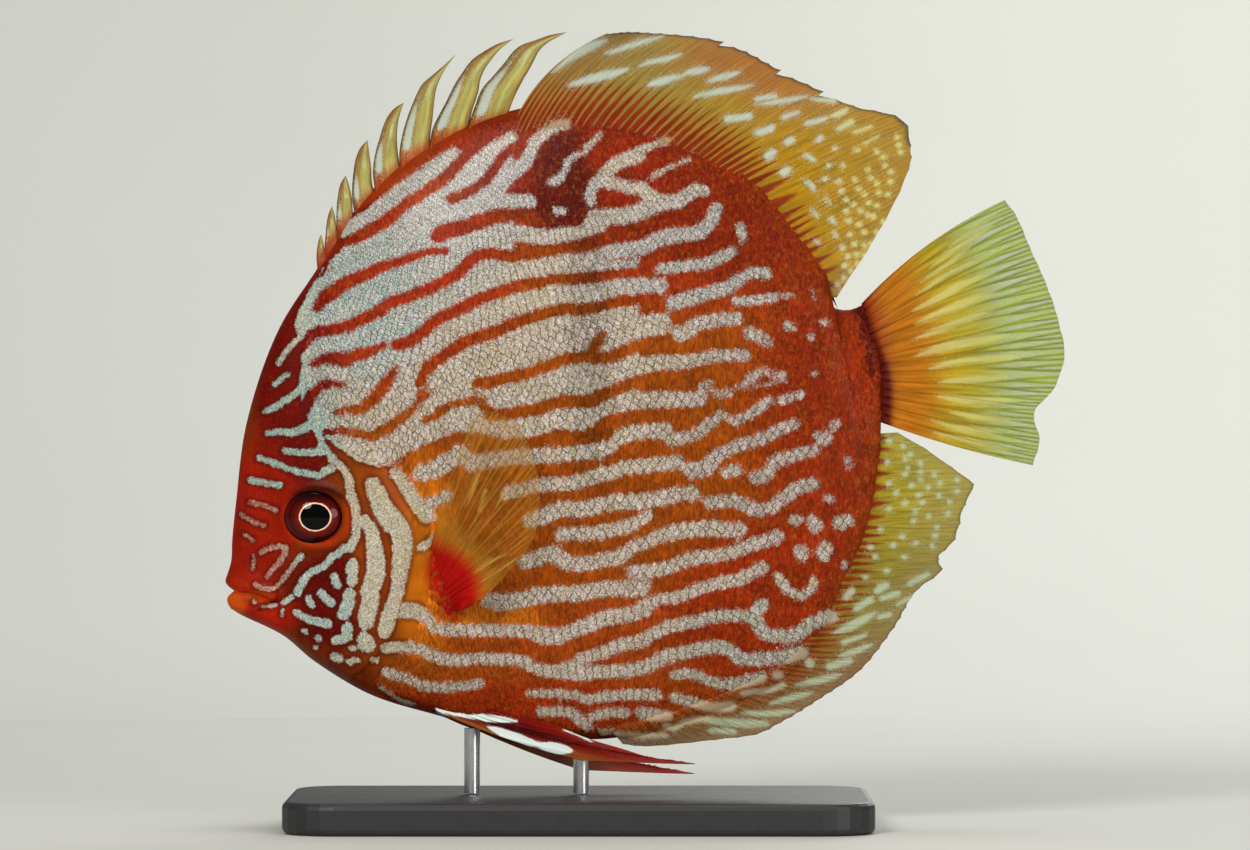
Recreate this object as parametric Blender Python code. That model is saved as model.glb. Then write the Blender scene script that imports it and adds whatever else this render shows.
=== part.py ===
# Discus fish: a still, life-size model held over a flat base by two short rods.
# The fish faces -X and leans nose down, its left side faces -Y, and up is +Z.
# Outline places are in drawing units, counted right and down from the drawing's corner.
# UNIT is one drawing unit in metres, and thicknesses are in metres throughout.

import math

import bpy
import numpy as np

# Drawing scale and the place of the origin, under the middle of the base
UNIT = 0.0001715
MIDDLE_ACROSS = 575.0
FLOOR_DOWN = 899.0

# Gap between neighbouring parts
GAP = 0.0003

# Stand
BASE_LENGTH = 0.110
BASE_WIDTH = 0.062
BASE_HEIGHT = 0.006
BASE_CORNER = 0.010
BASE_EDGE = 0.0012
ROD_RADIUS = 0.0015
ROD_PLACES = (457.0, 577.0)

# Upper outline of the body, from the upper lip over the back to the tail stalk
UPPER_LINE = (
    (186, 627), (192, 607), (193, 585), (197, 545), (209, 455), (243, 355), (285, 288),
    (333, 215), (382, 168), (452, 128), (540, 104), (620, 106), (694, 129), (749, 160),
    (817, 243), (847, 292), (852, 326), (872, 331), (894, 321),
)
# Lower outline of the body, from the lower lip along the belly to the tail stalk
LOWER_LINE = (
    (189, 654), (203, 665), (249, 689), (283, 717), (345, 754), (412, 775), (500, 796),
    (600, 803), (670, 790), (749, 763), (805, 733), (838, 698), (862, 650), (885, 600),
    (899, 548), (906, 500), (906, 458),
)

# Columns that divide the body, as shares of the way from the mouth to the tail stalk
LIP_END = 0.06
COVER_START = 0.212
HEAD_END = 0.25
TRUNK_END = 0.90
COVER_LOW = 0.09
COVER_HIGH = 0.62

# Columns of the body, each a share of the way, the shares of the upper and lower outlines it
# joins, its bow towards the tail, its half width, the half width of its upper and lower edges
# and the fullness of its section
STATIONS = (
    (0.00, 0.000, 0.000, 8, 0.0044, 0.0006, 0.0006, 0.50),
    (0.06, 0.019, 0.018, 47, 0.0046, 0.0012, 0.0012, 0.52),
    (0.11, 0.080, 0.055, 53, 0.0066, 0.0016, 0.0014, 0.52),
    (0.17, 0.180, 0.110, 61, 0.0087, 0.0017, 0.0016, 0.55),
    (0.22, 0.260, 0.160, 69, 0.0103, 0.0016, 0.0018, 0.60),
    (0.25, 0.310, 0.193, 71, 0.0110, 0.0015, 0.0020, 0.64),
    (0.32, 0.400, 0.270, 60, 0.0117, 0.0015, 0.0023, 0.70),
    (0.42, 0.500, 0.380, 35, 0.0117, 0.0016, 0.0023, 0.74),
    (0.55, 0.620, 0.520, 12, 0.0108, 0.0018, 0.0018, 0.76),
    (0.68, 0.745, 0.660, 0, 0.0094, 0.0019, 0.0016, 0.78),
    (0.80, 0.850, 0.785, 0, 0.0076, 0.0018, 0.0015, 0.78),
    (0.90, 0.925, 0.885, 0, 0.0056, 0.0017, 0.0015, 0.74),
    (0.96, 0.962, 0.950, 0, 0.0043, 0.0016, 0.0014, 0.66),
    (1.00, 1.000, 1.000, 8, 0.0032, 0.0015, 0.0013, 0.60),
)

# Head
EYE = (287.0, 558.0)
EYE_HALF_LENGTH = 0.0060
EYE_HALF_HEIGHT = 0.0053
EYE_HALF_DEPTH = 0.0034
EYE_SUNK = 0.0013
EYE_SIDES = 20
ORBIT_RISE = 0.0005
NOSTRIL = (216.0, 606.0)
NOSTRIL_RADIUS = 0.0006
COVER_THICKNESS = 0.0010
COVER_RISE = 0.0005
LIP_ROLL = 0.0005
MOUTH_GROOVE = 0.0007

# Fins
SPINE_HALF = 0.00075
RAY_HALF = 0.00050
WEB_HALF = 0.00028
FIN_STEPS = 6
CAUDAL_STEPS = 8


def smooth_line(points, count):
    """Places along a smooth curve through the points, evenly spaced by length."""
    given = np.array(points, dtype=float)
    gaps = np.sqrt(np.linalg.norm(np.diff(given, axis=0), axis=1))
    knots = np.concatenate(([0.0], np.cumsum(gaps)))
    slopes = np.gradient(given, knots, axis=0)
    pieces = []
    for index in range(len(given) - 1):
        t = np.linspace(0, 1, 24, endpoint=False)[:, None]
        width = knots[index + 1] - knots[index]
        start, end = given[index], given[index + 1]
        lead, trail = slopes[index] * width, slopes[index + 1] * width
        pieces.append((2 * t**3 - 3 * t**2 + 1) * start + (t**3 - 2 * t**2 + t) * lead
                      + (3 * t**2 - 2 * t**3) * end + (t**3 - t**2) * trail)
    fine = np.vstack(pieces + [given[-1:]])
    length = np.concatenate(([0.0], np.cumsum(np.linalg.norm(np.diff(fine, axis=0), axis=1))))
    even = np.linspace(0, length[-1], count)
    return np.column_stack([np.interp(even, length, fine[:, axis]) for axis in (0, 1)])


UPPER = smooth_line(UPPER_LINE, 600)
LOWER = smooth_line(LOWER_LINE, 600)
STATION = np.array(STATIONS)


def on_line(line, share):
    """The place at a share of an outline's length."""
    steps = np.linspace(0, 1, len(line))
    return np.stack([np.interp(share, steps, line[:, axis]) for axis in (0, 1)], axis=-1)


def station(along, column):
    return np.interp(along, STATION[:, 0], STATION[:, column])


def body_place(along, up):
    """Drawing place of a body point: along from mouth to tail, up from belly to back."""
    top = on_line(UPPER, station(along, 1))
    bottom = on_line(LOWER, station(along, 2))
    place = bottom + (top - bottom) * up[..., None]
    place[..., 0] += station(along, 3) * np.sin(math.pi * up)
    return place


def bell(value, middle, width):
    return np.exp(-((value - middle) / width) ** 2)


def mouth_line(along):
    """How far up the mouth line lies, at each column of the lips."""
    return np.interp(along, (0, LIP_END), (0.52, 0.29))


def body_half(along, up):
    """Half thickness of the body."""
    width = station(along, 4)
    snout = np.clip(along / LIP_END, 0, 1)
    width = np.where(along < LIP_END, 0.0006 + width * np.sqrt(1 - (1 - snout) ** 2), width)
    edge = np.where(up > 0.5, station(along, 5), station(along, 6))
    edge = np.minimum(edge, width)
    across = 2 * np.clip(up, 0, 1) ** 0.86 - 1
    round_off = np.clip(1 - np.abs(across) ** 2.1, 0, 1) ** station(along, 7)
    half = edge + (width - edge) * round_off

    place = body_place(along, up)
    orbit = np.hypot((place[..., 0] - EYE[0]) / 33, (place[..., 1] - EYE[1]) / 29)
    half = half + ORBIT_RISE * bell(orbit, 1.1, 0.22)
    in_lips = along < LIP_END + 0.01
    from_mouth = up - mouth_line(along)
    half = half + np.where(in_lips, LIP_ROLL * bell(np.abs(from_mouth), 0.16, 0.12) * snout, 0)
    half = half - np.where(in_lips, MOUTH_GROOVE * bell(from_mouth, 0, 0.05) * snout, 0)
    return half


def to_metres(place, depth):
    """Metres from drawing places and depths."""
    return np.stack([(place[..., 0] - MIDDLE_ACROSS) * UNIT, np.broadcast_to(depth, place.shape[:-1]),
                     (FLOOR_DOWN - place[..., 1]) * UNIT], axis=-1)


def finish(name, mesh, color, roughness, metallic=0.0):
    """An object of its own from a mesh, smooth shaded, with its own material."""
    material = bpy.data.materials.new(name)
    material.use_nodes = True
    shader = material.node_tree.nodes["Principled BSDF"]
    shader.inputs["Base Color"].default_value = (*color, 1)
    shader.inputs["Roughness"].default_value = roughness
    shader.inputs["Metallic"].default_value = metallic
    mesh.materials.clear()
    mesh.materials.append(material)
    part = bpy.data.objects.new(name, mesh)
    bpy.context.collection.objects.link(part)
    mesh.shade_smooth()
    mesh.set_sharp_from_angle(angle=math.radians(40))
    return part


def closed_sheet(name, one_side, other_side, color, roughness):
    """A closed part between two grids of places, alike in their triangles, with walls around."""
    rows, columns = one_side.shape[:2]
    count = rows * columns
    index = np.arange(count).reshape(rows, columns)
    a, b = index[:-1, :-1].ravel(), index[1:, :-1].ravel()
    c, d = index[1:, 1:].ravel(), index[:-1, 1:].ravel()
    front = np.vstack([np.column_stack([a, b, c]), np.column_stack([a, c, d])])
    back = front[:, ::-1] + count
    rim = np.concatenate([index[:, 0], index[-1, 1:], index[-2::-1, -1], index[0, -2:0:-1]])
    onward = np.roll(rim, -1)
    walls = np.vstack([np.column_stack([onward, rim, rim + count]),
                       np.column_stack([onward, rim + count, onward + count])])
    points = np.vstack([one_side.reshape(-1, 3), other_side.reshape(-1, 3)])
    faces = np.vstack([front, back, walls])
    p, q, r = points[faces[:, 0]], points[faces[:, 1]], points[faces[:, 2]]
    if np.einsum("ij,ij->", p, np.cross(q, r)) < 0:
        faces = faces[:, ::-1]
    mesh = bpy.data.meshes.new(name)
    mesh.from_pydata(points.tolist(), [], faces.tolist())
    mesh.validate()
    return finish(name, mesh, color, roughness)


def spread(start, end, count):
    """Even steps that crowd a little towards both ends."""
    even = np.linspace(0, 1, count)
    return start + (end - start) * (0.5 * even + 0.5 * (1 - np.cos(math.pi * even)) / 2)


def body_part(name, along, up, color, roughness, sunk=None):
    """A part of the body from its left side to its right side."""
    along, up = np.broadcast_arrays(along, up)
    place = body_place(along, up)
    half = body_half(along, up)
    if sunk is not None:
        half = half - sunk(along, up)
    return closed_sheet(name, to_metres(place, -half), to_metres(place, half), color, roughness)


def ellipsoid(name, centre, half_sizes, segments, rings):
    bpy.ops.mesh.primitive_uv_sphere_add(segments=segments, ring_count=rings, radius=1, location=centre)
    ball = bpy.context.object
    ball.name = name
    ball.rotation_euler = (math.radians(90), 0, 0)
    ball.scale = (half_sizes[0], half_sizes[2], half_sizes[1])
    bpy.ops.object.transform_apply(location=True, rotation=True, scale=True)
    return ball


def cut(part, cutter):
    """Takes the cutter's shape out of a part and removes the cutter."""
    step = part.modifiers.new("cut", "BOOLEAN")
    step.operation = "DIFFERENCE"
    step.solver = "EXACT"
    step.object = cutter
    bpy.context.view_layer.objects.active = part
    bpy.ops.object.modifier_apply(modifier=step.name)
    bpy.data.objects.remove(cutter)


def body_net():
    """Drawing places and half thicknesses on a fine net of the body."""
    along, up = np.meshgrid(np.linspace(0.01, 1, 300), np.linspace(0, 1, 160), indexing="ij")
    return body_place(along, up).reshape(-1, 2), body_half(along, up).ravel()


NET_PLACES, NET_HALVES = body_net()


def depth_at(places):
    """Half thickness of the body at each drawing place, or at the nearest point of its edge."""
    flat = np.reshape(np.array(places, dtype=float), (-1, 2))
    nearest = [np.argmin(((NET_PLACES - place) ** 2).sum(axis=1)) for place in flat]
    return NET_HALVES[nearest].reshape(np.shape(places)[:-1])


# Remove what a new file holds
for thing in list(bpy.data.objects):
    bpy.data.objects.remove(thing)

# Body
SEAM = 0.0009
lips = np.array((0, 0.03, 0.1, 0.22, 0.38, 0.56, 0.76, 1.0)) * (LIP_END - 0.0015)
column_length = np.linalg.norm(body_place(lips, np.ones_like(lips)) - body_place(lips, np.zeros_like(lips)), axis=1)
clear = GAP / 2 / UNIT / column_length
upper_rows = mouth_line(lips)[:, None] + clear[:, None]
upper_rows = upper_rows + (1 - upper_rows) * spread(0, 1, 10)[None, :]
lower_rows = (mouth_line(lips)[:, None] - clear[:, None]) * spread(0, 1, 8)[None, :]
body_part("upper_lip", lips[:, None], upper_rows, (0.42, 0.06, 0.02), 0.35)
body_part("lower_lip", lips[:, None], lower_rows, (0.50, 0.09, 0.03), 0.35)


def cover_bed(along, up):
    """How deep the head is sunk under the gill covers."""
    inside = (along >= COVER_START) & (up >= COVER_LOW) & (up <= COVER_HIGH)
    return np.where(inside, COVER_THICKNESS + GAP, 0.0)


head_along = np.concatenate([
    np.linspace(LIP_END + 0.0015, COVER_START - 0.001, 15), np.linspace(COVER_START, HEAD_END - SEAM, 5)])
head_up = np.concatenate([
    np.linspace(0, COVER_LOW - 0.002, 4), np.linspace(COVER_LOW, COVER_HIGH, 14),
    spread(COVER_HIGH + 0.002, 1, 9)])
head = body_part("head", head_along[:, None], head_up[None, :], (0.36, 0.05, 0.02), 0.4, cover_bed)

cover_along, cover_up = np.meshgrid(
    np.linspace(COVER_START + 0.0014, HEAD_END - SEAM, 6),
    np.linspace(COVER_LOW + 0.004, COVER_HIGH - 0.004, 16), indexing="ij")
cover_place = body_place(cover_along, cover_up)
cover_half = body_half(cover_along, cover_up)
rise = COVER_RISE * (cover_along - COVER_START) / (HEAD_END - COVER_START)
for name, side in (("gill_cover_left", -1), ("gill_cover_right", 1)):
    closed_sheet(name, to_metres(cover_place, side * (cover_half + rise)),
                 to_metres(cover_place, side * (cover_half - COVER_THICKNESS)), (0.42, 0.12, 0.05), 0.35)

trunk_along = np.linspace(HEAD_END + SEAM, TRUNK_END - SEAM, 19)
body_part("trunk", trunk_along[:, None], spread(0, 1, 19)[None, :], (0.45, 0.16, 0.05), 0.4)
stalk_along = np.linspace(TRUNK_END + SEAM, 1, 5)
body_part("tail_stalk", stalk_along[:, None], spread(0, 1, 15)[None, :], (0.32, 0.05, 0.02), 0.4)

# Eyes in their sockets, and a nostril on each side
for name, side in (("eye_left", -1), ("eye_right", 1)):
    centre = to_metres(np.array(EYE), side * (depth_at(EYE) - EYE_SUNK))
    sizes = np.array((EYE_HALF_LENGTH, EYE_HALF_DEPTH, EYE_HALF_HEIGHT))
    cut(head, ellipsoid("socket", centre, sizes + GAP, EYE_SIDES, EYE_SIDES // 2))
    eye = ellipsoid("ball", centre, sizes, EYE_SIDES, EYE_SIDES // 2)
    ball = eye.data
    bpy.data.objects.remove(eye)
    finish(name, ball, (0.05, 0.01, 0.01), 0.1)
    pit = to_metres(np.array(NOSTRIL), side * depth_at(NOSTRIL))
    cut(head, ellipsoid("pit", pit, (NOSTRIL_RADIUS, 0.0008, 1.4 * NOSTRIL_RADIUS), 12, 6))


def fin(name, keys, base, thick, web_notch, depth, color, steps=FIN_STEPS):
    """A fin of rays with a web between them.

    Each key is (ray, place along the base, tip across, tip down, curve), and rays between the
    keys follow them. The thickness of a ray's ridge, the notch of the web between two rays and
    the depth of the fin are functions of the ray and of the way out.
    """
    table = np.array(keys, dtype=float)
    rays = np.arange(0, table[-1, 0] + 0.25, 0.5)
    is_web = (np.arange(len(rays)) % 2 == 1)
    value = [np.interp(rays, table[:, 0], table[:, column]) for column in range(1, 5)]
    root = base(value[0])
    tip = np.column_stack([value[1], value[2]])
    reach = np.where(is_web, 1 - web_notch(rays), 1.0)[:, None]
    across = (tip - root)[:, ::-1] * (1, -1)
    bend = (root + tip) / 2 + across * value[3][:, None]
    way = np.linspace(0, 1, steps + 1)[None, :, None] * reach[:, None, :]
    place = (root[:, None] * (1 - way) ** 2 + 2 * bend[:, None] * way * (1 - way) + tip[:, None] * way**2)
    out = way[..., 0]
    half = np.where(is_web[:, None], WEB_HALF, thick(rays[:, None], out))
    middle = depth(place, rays[:, None], out)
    return closed_sheet(name, to_metres(place, middle - half), to_metres(place, middle + half), color, 0.35)


def edge_base(line, clear):
    """Base of a fin on an outline of the body, a gap away from it."""
    def base(share):
        place = on_line(line, share)
        ahead = on_line(line, share + 0.004) - on_line(line, share - 0.004)
        outward = np.column_stack([ahead[:, 1], -ahead[:, 0]])
        outward = outward / np.linalg.norm(outward, axis=1)[:, None]
        return place + outward * clear
    return base


def taper(root_half, tip_half):
    return lambda ray, out: root_half + (tip_half - root_half) * np.clip(out, 0, 1) ** 0.7 + 0 * ray


# Dorsal fin: spines in front, soft rays behind
DORSAL_SPINES = 9
DORSAL_KEYS = (
    (0, 0.325, 290.6, 250, 0.02), (1, 0.336, 301, 217, 0.06), (2, 0.359, 318, 183, 0.08),
    (3, 0.386, 342, 144, 0.10), (4, 0.413, 382, 103, 0.12), (5, 0.445, 438.8, 51, 0.12),
    (6, 0.485, 502, 33.5, 0.14), (7, 0.516, 561, 25.5, 0.15), (8, 0.547, 606, 27, 0.14),
    (13, 0.596, 651, 25.5, 0.12), (18, 0.665, 734, 36, 0.10), (23, 0.731, 797, 67, 0.06),
    (28, 0.786, 878, 106, 0.05), (31, 0.825, 937, 129, 0.03), (32, 0.852, 940, 150, 0.02),
    (34, 0.878, 938, 176, 0.0), (36, 0.905, 912, 232, 0.0), (37, 0.926, 888, 272, 0.0),
    (38, 0.950, 857, 317, 0.0),
)


def dorsal_notch(ray):
    return np.interp(ray, (0, 5, 6, 7, 8, 9, 38), (0.36, 0.36, 0.30, 0.16, 0.05, 0.015, 0.015))


def dorsal_thick(ray, out):
    root = np.where(ray < DORSAL_SPINES, SPINE_HALF, RAY_HALF)
    return root + (0.00026 - root) * np.clip(out, 0, 1) ** 0.8


fin("dorsal_fin", DORSAL_KEYS, edge_base(UPPER, GAP / UNIT), dorsal_thick, dorsal_notch,
    lambda place, ray, out: 0.0006 * np.sin(ray * 0.55) * out**2, (0.42, 0.30, 0.03))

# Anal fin, swept back along the body's lower edge
ANAL_KEYS = (
    (0, 0.466, 622, 807, -0.02), (3, 0.510, 672, 809, -0.03), (5, 0.540, 725, 804, -0.04),
    (7, 0.572, 770, 798, -0.05), (9, 0.590, 797, 785, -0.05), (13, 0.635, 842, 758, -0.06),
    (17, 0.684, 886, 726, -0.06), (21, 0.734, 922, 680, -0.05), (25, 0.790, 950, 637, -0.04),
    (27, 0.820, 975, 616, -0.02), (28, 0.835, 971, 605, -0.02), (30, 0.862, 989, 583, -0.01),
    (32, 0.895, 1000, 545, 0.0), (33, 0.925, 1009, 523, 0.0), (34, 0.950, 985, 504, 0.0),
    (35, 0.972, 955, 483, 0.0), (36, 0.990, 925, 466, 0.0),
)
fin("anal_fin", ANAL_KEYS, edge_base(LOWER[:, :], -GAP / UNIT), taper(0.0006, 0.00026),
    lambda ray: np.interp(ray, (0, 8, 10, 36), (0.10, 0.08, 0.02, 0.02)),
    lambda place, ray, out: 0.0006 * np.sin(ray * 0.5 + 1) * out**2, (0.40, 0.26, 0.03))

# Tail fin
CAUDAL_KEYS = (
    (0, 0.00, 1043, 210, 0.10), (1, 0.06, 1054, 224, 0.09), (3, 0.19, 1071, 262, 0.06),
    (5, 0.32, 1088, 300, 0.04), (7, 0.45, 1102, 342, 0.02), (9, 0.58, 1108, 388, 0.0),
    (10, 0.64, 1099, 414, -0.01), (12, 0.77, 1075, 448, -0.02), (13, 0.83, 1081, 470, -0.03),
    (15, 0.97, 1074, 502, -0.04),
)
fin("caudal_fin", CAUDAL_KEYS, lambda share: body_place(np.ones_like(share), 0.98 - 0.96 * share) + (GAP / UNIT, 0),
    taper(0.0011, 0.00026), lambda ray: 0.015 + 0 * ray,
    lambda place, ray, out: 0.0007 * np.sin(ray * 0.45) * out**2, (0.50, 0.36, 0.05), CAUDAL_STEPS)

# Breast fins, fanned out from a fleshy root low on each side
PECTORAL_KEYS = (
    (0, 0.00, 461, 446, 0.06), (1, 0.10, 480, 443, 0.05), (2, 0.20, 499, 450, 0.04),
    (4, 0.36, 520, 476, 0.02), (6, 0.52, 532, 521, 0.0), (8, 0.68, 530, 566, -0.02),
    (10, 0.84, 514, 599, -0.04), (11, 0.92, 494, 622, -0.05), (12, 1.0, 474, 643, -0.06),
)
PECTORAL_ROOT = ((417, 606), (428, 627), (440, 645), (446, 661))
root_curve = smooth_line(PECTORAL_ROOT, 40)
PECTORAL_STAND_OFF = 0.0009
PECTORAL_SPREAD = 0.0085
for name, side in (("pectoral_fin_left", -1), ("pectoral_fin_right", 1)):
    at_root = depth_at((432, 632)) + PECTORAL_STAND_OFF + GAP
    fin(name, PECTORAL_KEYS, lambda share: on_line(root_curve, share), taper(0.0010, 0.00026),
        lambda ray: 0.01 + 0 * ray,
        lambda place, ray, out: side * (at_root + PECTORAL_SPREAD * out * (1 - 0.35 * out)), (0.45, 0.20, 0.03))

# Belly fins, laid back under the belly
PELVIC_KEYS = (
    (0, 0.0, 577, 825, -0.05), (1, 0.2, 700, 829, -0.05), (2, 0.4, 655, 822, -0.04),
    (3, 0.6, 622, 812, -0.04), (4, 0.8, 585, 801, -0.03), (5, 1.0, 548, 786, -0.02),
)
PELVIC_ROOT = ((414, 779), (426, 781), (440, 783), (452, 781))
PELVIC_STAND_OFF = 0.0012
pelvic_curve = smooth_line(PELVIC_ROOT, 30)
for name, side, drop in (("pelvic_fin_left", -1, 0.0), ("pelvic_fin_right", 1, 14.0)):
    keys = [(ray, share, x, y + drop, bend) for ray, share, x, y, bend in PELVIC_KEYS]
    fin(name, keys, lambda share: on_line(pelvic_curve, share) + (0, 0.15 * drop), taper(0.0007, 0.00026),
        lambda ray: 0.04 + 0 * ray, lambda place, ray, out: side * (depth_at(place) + PELVIC_STAND_OFF), (0.35, 0.04, 0.02))

# Stand: a rounded base plate and two rods up to the belly
bpy.ops.mesh.primitive_cube_add(size=1, location=(0, 0, BASE_HEIGHT / 2))
plate = bpy.context.object
plate.scale = (BASE_LENGTH, BASE_WIDTH, BASE_HEIGHT)
bpy.ops.object.transform_apply(scale=True, location=True)
weight = plate.data.attributes.new("bevel_weight_edge", "FLOAT", "EDGE")
for edge in plate.data.edges:
    first, second = (plate.data.vertices[index].co for index in edge.vertices)
    weight.data[edge.index].value = 1.0 if abs(first.z - second.z) > BASE_HEIGHT / 2 else 0.0
for label, limit, width, segments in (("corners", "WEIGHT", BASE_CORNER, 6), ("edges", "ANGLE", BASE_EDGE, 3)):
    step = plate.modifiers.new(label, "BEVEL")
    step.limit_method = limit
    step.width = width
    step.segments = segments
    step.angle_limit = math.radians(60)
    bpy.ops.object.modifier_apply(modifier=step.name)
plate_mesh = plate.data
bpy.data.objects.remove(plate)
finish("stand_base", plate_mesh, (0.03, 0.03, 0.03), 0.3)

for name, across in zip(("stand_rod_front", "stand_rod_back"), ROD_PLACES):
    near = LOWER[np.abs(LOWER[:, 0] - across) < ROD_RADIUS / UNIT]
    top = (FLOOR_DOWN - near[:, 1].max()) * UNIT - GAP
    bottom = BASE_HEIGHT + GAP
    bpy.ops.mesh.primitive_cylinder_add(
        vertices=24, radius=ROD_RADIUS, depth=top - bottom,
        location=((across - MIDDLE_ACROSS) * UNIT, 0, (top + bottom) / 2))
    rod = bpy.context.object
    bpy.ops.object.transform_apply(location=True)
    rod_mesh = rod.data
    bpy.data.objects.remove(rod)
    finish(name, rod_mesh, (0.6, 0.6, 0.6), 0.3, 1.0)
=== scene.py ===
# %% [markdown]
# # A discus fish on a display stand
#
# The real fish is almost as tall as it is long and only about two centimetres thick.
# This lesson dresses a solid model of it: one smooth skin over the whole body, a coat of small
# scales, fins with fine rays, and eyes of their own. Every size is in metres unless it says units,
# and one drawing unit is a fixed share of a metre, so that a place in the drawing can be read off
# as two whole numbers, right and down.

# %% Load the solid model
import math

import bpy
import numpy as np
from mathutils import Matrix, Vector


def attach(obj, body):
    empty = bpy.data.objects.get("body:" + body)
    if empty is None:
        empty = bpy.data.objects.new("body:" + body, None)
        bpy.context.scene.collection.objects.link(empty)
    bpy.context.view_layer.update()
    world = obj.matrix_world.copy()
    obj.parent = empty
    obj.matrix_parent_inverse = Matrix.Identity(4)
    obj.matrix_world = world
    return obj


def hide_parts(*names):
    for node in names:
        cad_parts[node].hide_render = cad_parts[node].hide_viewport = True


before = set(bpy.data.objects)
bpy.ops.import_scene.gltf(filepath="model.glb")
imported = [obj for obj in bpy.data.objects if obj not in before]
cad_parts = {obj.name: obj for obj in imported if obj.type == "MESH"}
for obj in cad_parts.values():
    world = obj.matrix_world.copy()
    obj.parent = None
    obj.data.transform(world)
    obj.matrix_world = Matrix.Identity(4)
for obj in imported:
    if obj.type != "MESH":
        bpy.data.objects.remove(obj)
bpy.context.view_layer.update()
bpy.ops.object.select_all(action="DESELECT")

# %% [markdown]
# ## Drawing and world
#
# The fish faces left along -X and its left side faces -Y. The drawing's units are small enough
# that a scale is about ten of them long. The two helpers below turn places into metres.

# %% Drawing units
UNIT = 0.0001715
MIDDLE_ACROSS = 575.0
FLOOR_DOWN = 899.0


def to_metres(place, depth):
    """Metres from drawing places and depths."""
    return np.stack([(place[..., 0] - MIDDLE_ACROSS) * UNIT, np.broadcast_to(depth, place.shape[:-1]),
                     (FLOOR_DOWN - place[..., 1]) * UNIT], axis=-1)


def smooth_line(points, count):
    """Places along a smooth curve through the points, evenly spaced by length."""
    given = np.array(points, dtype=float)
    gaps = np.sqrt(np.linalg.norm(np.diff(given, axis=0), axis=1))
    knots = np.concatenate(([0.0], np.cumsum(gaps)))
    slopes = np.gradient(given, knots, axis=0)
    pieces = []
    for index in range(len(given) - 1):
        t = np.linspace(0, 1, 24, endpoint=False)[:, None]
        width = knots[index + 1] - knots[index]
        start, end = given[index], given[index + 1]
        lead, trail = slopes[index] * width, slopes[index + 1] * width
        pieces.append((2 * t**3 - 3 * t**2 + 1) * start + (t**3 - 2 * t**2 + t) * lead
                      + (3 * t**2 - 2 * t**3) * end + (t**3 - t**2) * trail)
    fine = np.vstack(pieces + [given[-1:]])
    length = np.concatenate(([0.0], np.cumsum(np.linalg.norm(np.diff(fine, axis=0), axis=1))))
    even = np.linspace(0, length[-1], count)
    return np.column_stack([np.interp(even, length, fine[:, axis]) for axis in (0, 1)])


def bell(value, middle, width):
    """A soft bump of height 1 round the middle."""
    return np.exp(-((value - middle) / width) ** 2)


def ease(value):
    """A smooth step from 0 to 1 while the value goes from 0 to 1."""
    held = np.clip(value, 0, 1)
    return held * held * (3 - 2 * held)


# %% [markdown]
# ## The body's form
#
# A body like this is a stack of columns. Each column joins a place on the back to a place on the
# belly, bows a little towards the tail and has its own thickness. The same few numbers as in the
# solid model are used, so the skin fits it everywhere.

# %% Outline and columns
UPPER_LINE = (
    (186, 627), (192, 607), (193, 585), (197, 545), (209, 455), (243, 355), (285, 288),
    (333, 215), (382, 168), (452, 128), (540, 104), (620, 106), (694, 129), (749, 160),
    (817, 243), (847, 292), (852, 326), (872, 331), (894, 321),
)
LOWER_LINE = (
    (191.5, 659.5), (203, 666.5), (249, 689), (283, 717), (345, 754), (412, 775), (500, 796),
    (600, 803), (670, 790), (749, 763), (805, 733), (838, 698), (862, 650), (885, 600),
    (899, 548), (906, 500), (906, 458),
)
LIP_END = 0.06
LIP_ROLL = 0.028
# Front of the closed lips, from the chin up: share of the way up, and units forward of a straight line
LIP_FRONT = np.array((
    (0.0, 0.0), (0.11, 1.6), (0.23, 2.6), (0.35, 1.9), (0.446, -0.5), (0.523, -3.6), (0.60, -7.1),
    (0.66, -4.9), (0.74, -1.9), (0.846, 0.4), (0.94, 0.8), (1.0, 0.0),
))
# Columns of the stations: share of the way from mouth to tail, shares of the upper and lower
# outlines, bow in units, half width, half widths of the upper and lower edges, and fullness
WAY, UPPER_SHARE, LOWER_SHARE, BOW, WIDEST, BACK_EDGE, BELLY_EDGE, FULLNESS = range(8)
STATIONS = np.array((
    (0.00, 0.000, 0.000, 8, 0.0044, 0.0006, 0.0006, 0.50),
    (0.06, 0.019, 0.018, 47, 0.0046, 0.0012, 0.0012, 0.52),
    (0.11, 0.080, 0.055, 53, 0.0066, 0.0016, 0.0014, 0.52),
    (0.17, 0.180, 0.110, 61, 0.0087, 0.0017, 0.0016, 0.55),
    (0.22, 0.260, 0.160, 69, 0.0103, 0.0016, 0.0018, 0.60),
    (0.25, 0.310, 0.193, 71, 0.0110, 0.0015, 0.0020, 0.64),
    (0.32, 0.400, 0.270, 60, 0.0117, 0.0015, 0.0023, 0.70),
    (0.42, 0.500, 0.380, 35, 0.0117, 0.0016, 0.0023, 0.74),
    (0.55, 0.620, 0.520, 12, 0.0108, 0.0018, 0.0018, 0.76),
    (0.68, 0.745, 0.660, 0, 0.0094, 0.0019, 0.0016, 0.78),
    (0.80, 0.850, 0.785, 0, 0.0076, 0.0018, 0.0015, 0.78),
    (0.90, 0.925, 0.885, 0, 0.0056, 0.0017, 0.0015, 0.74),
    (0.96, 0.962, 0.950, 0, 0.0043, 0.0016, 0.0014, 0.66),
    (1.00, 1.000, 1.000, 8, 0.0032, 0.0015, 0.0013, 0.60),
))
UPPER = smooth_line(UPPER_LINE, 600)
LOWER = smooth_line(LOWER_LINE, 600)


def on_line(line, share):
    """The place at a share of an outline's length."""
    steps = np.linspace(0, 1, len(line))
    return np.stack([np.interp(share, steps, line[:, axis]) for axis in (0, 1)], axis=-1)


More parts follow.
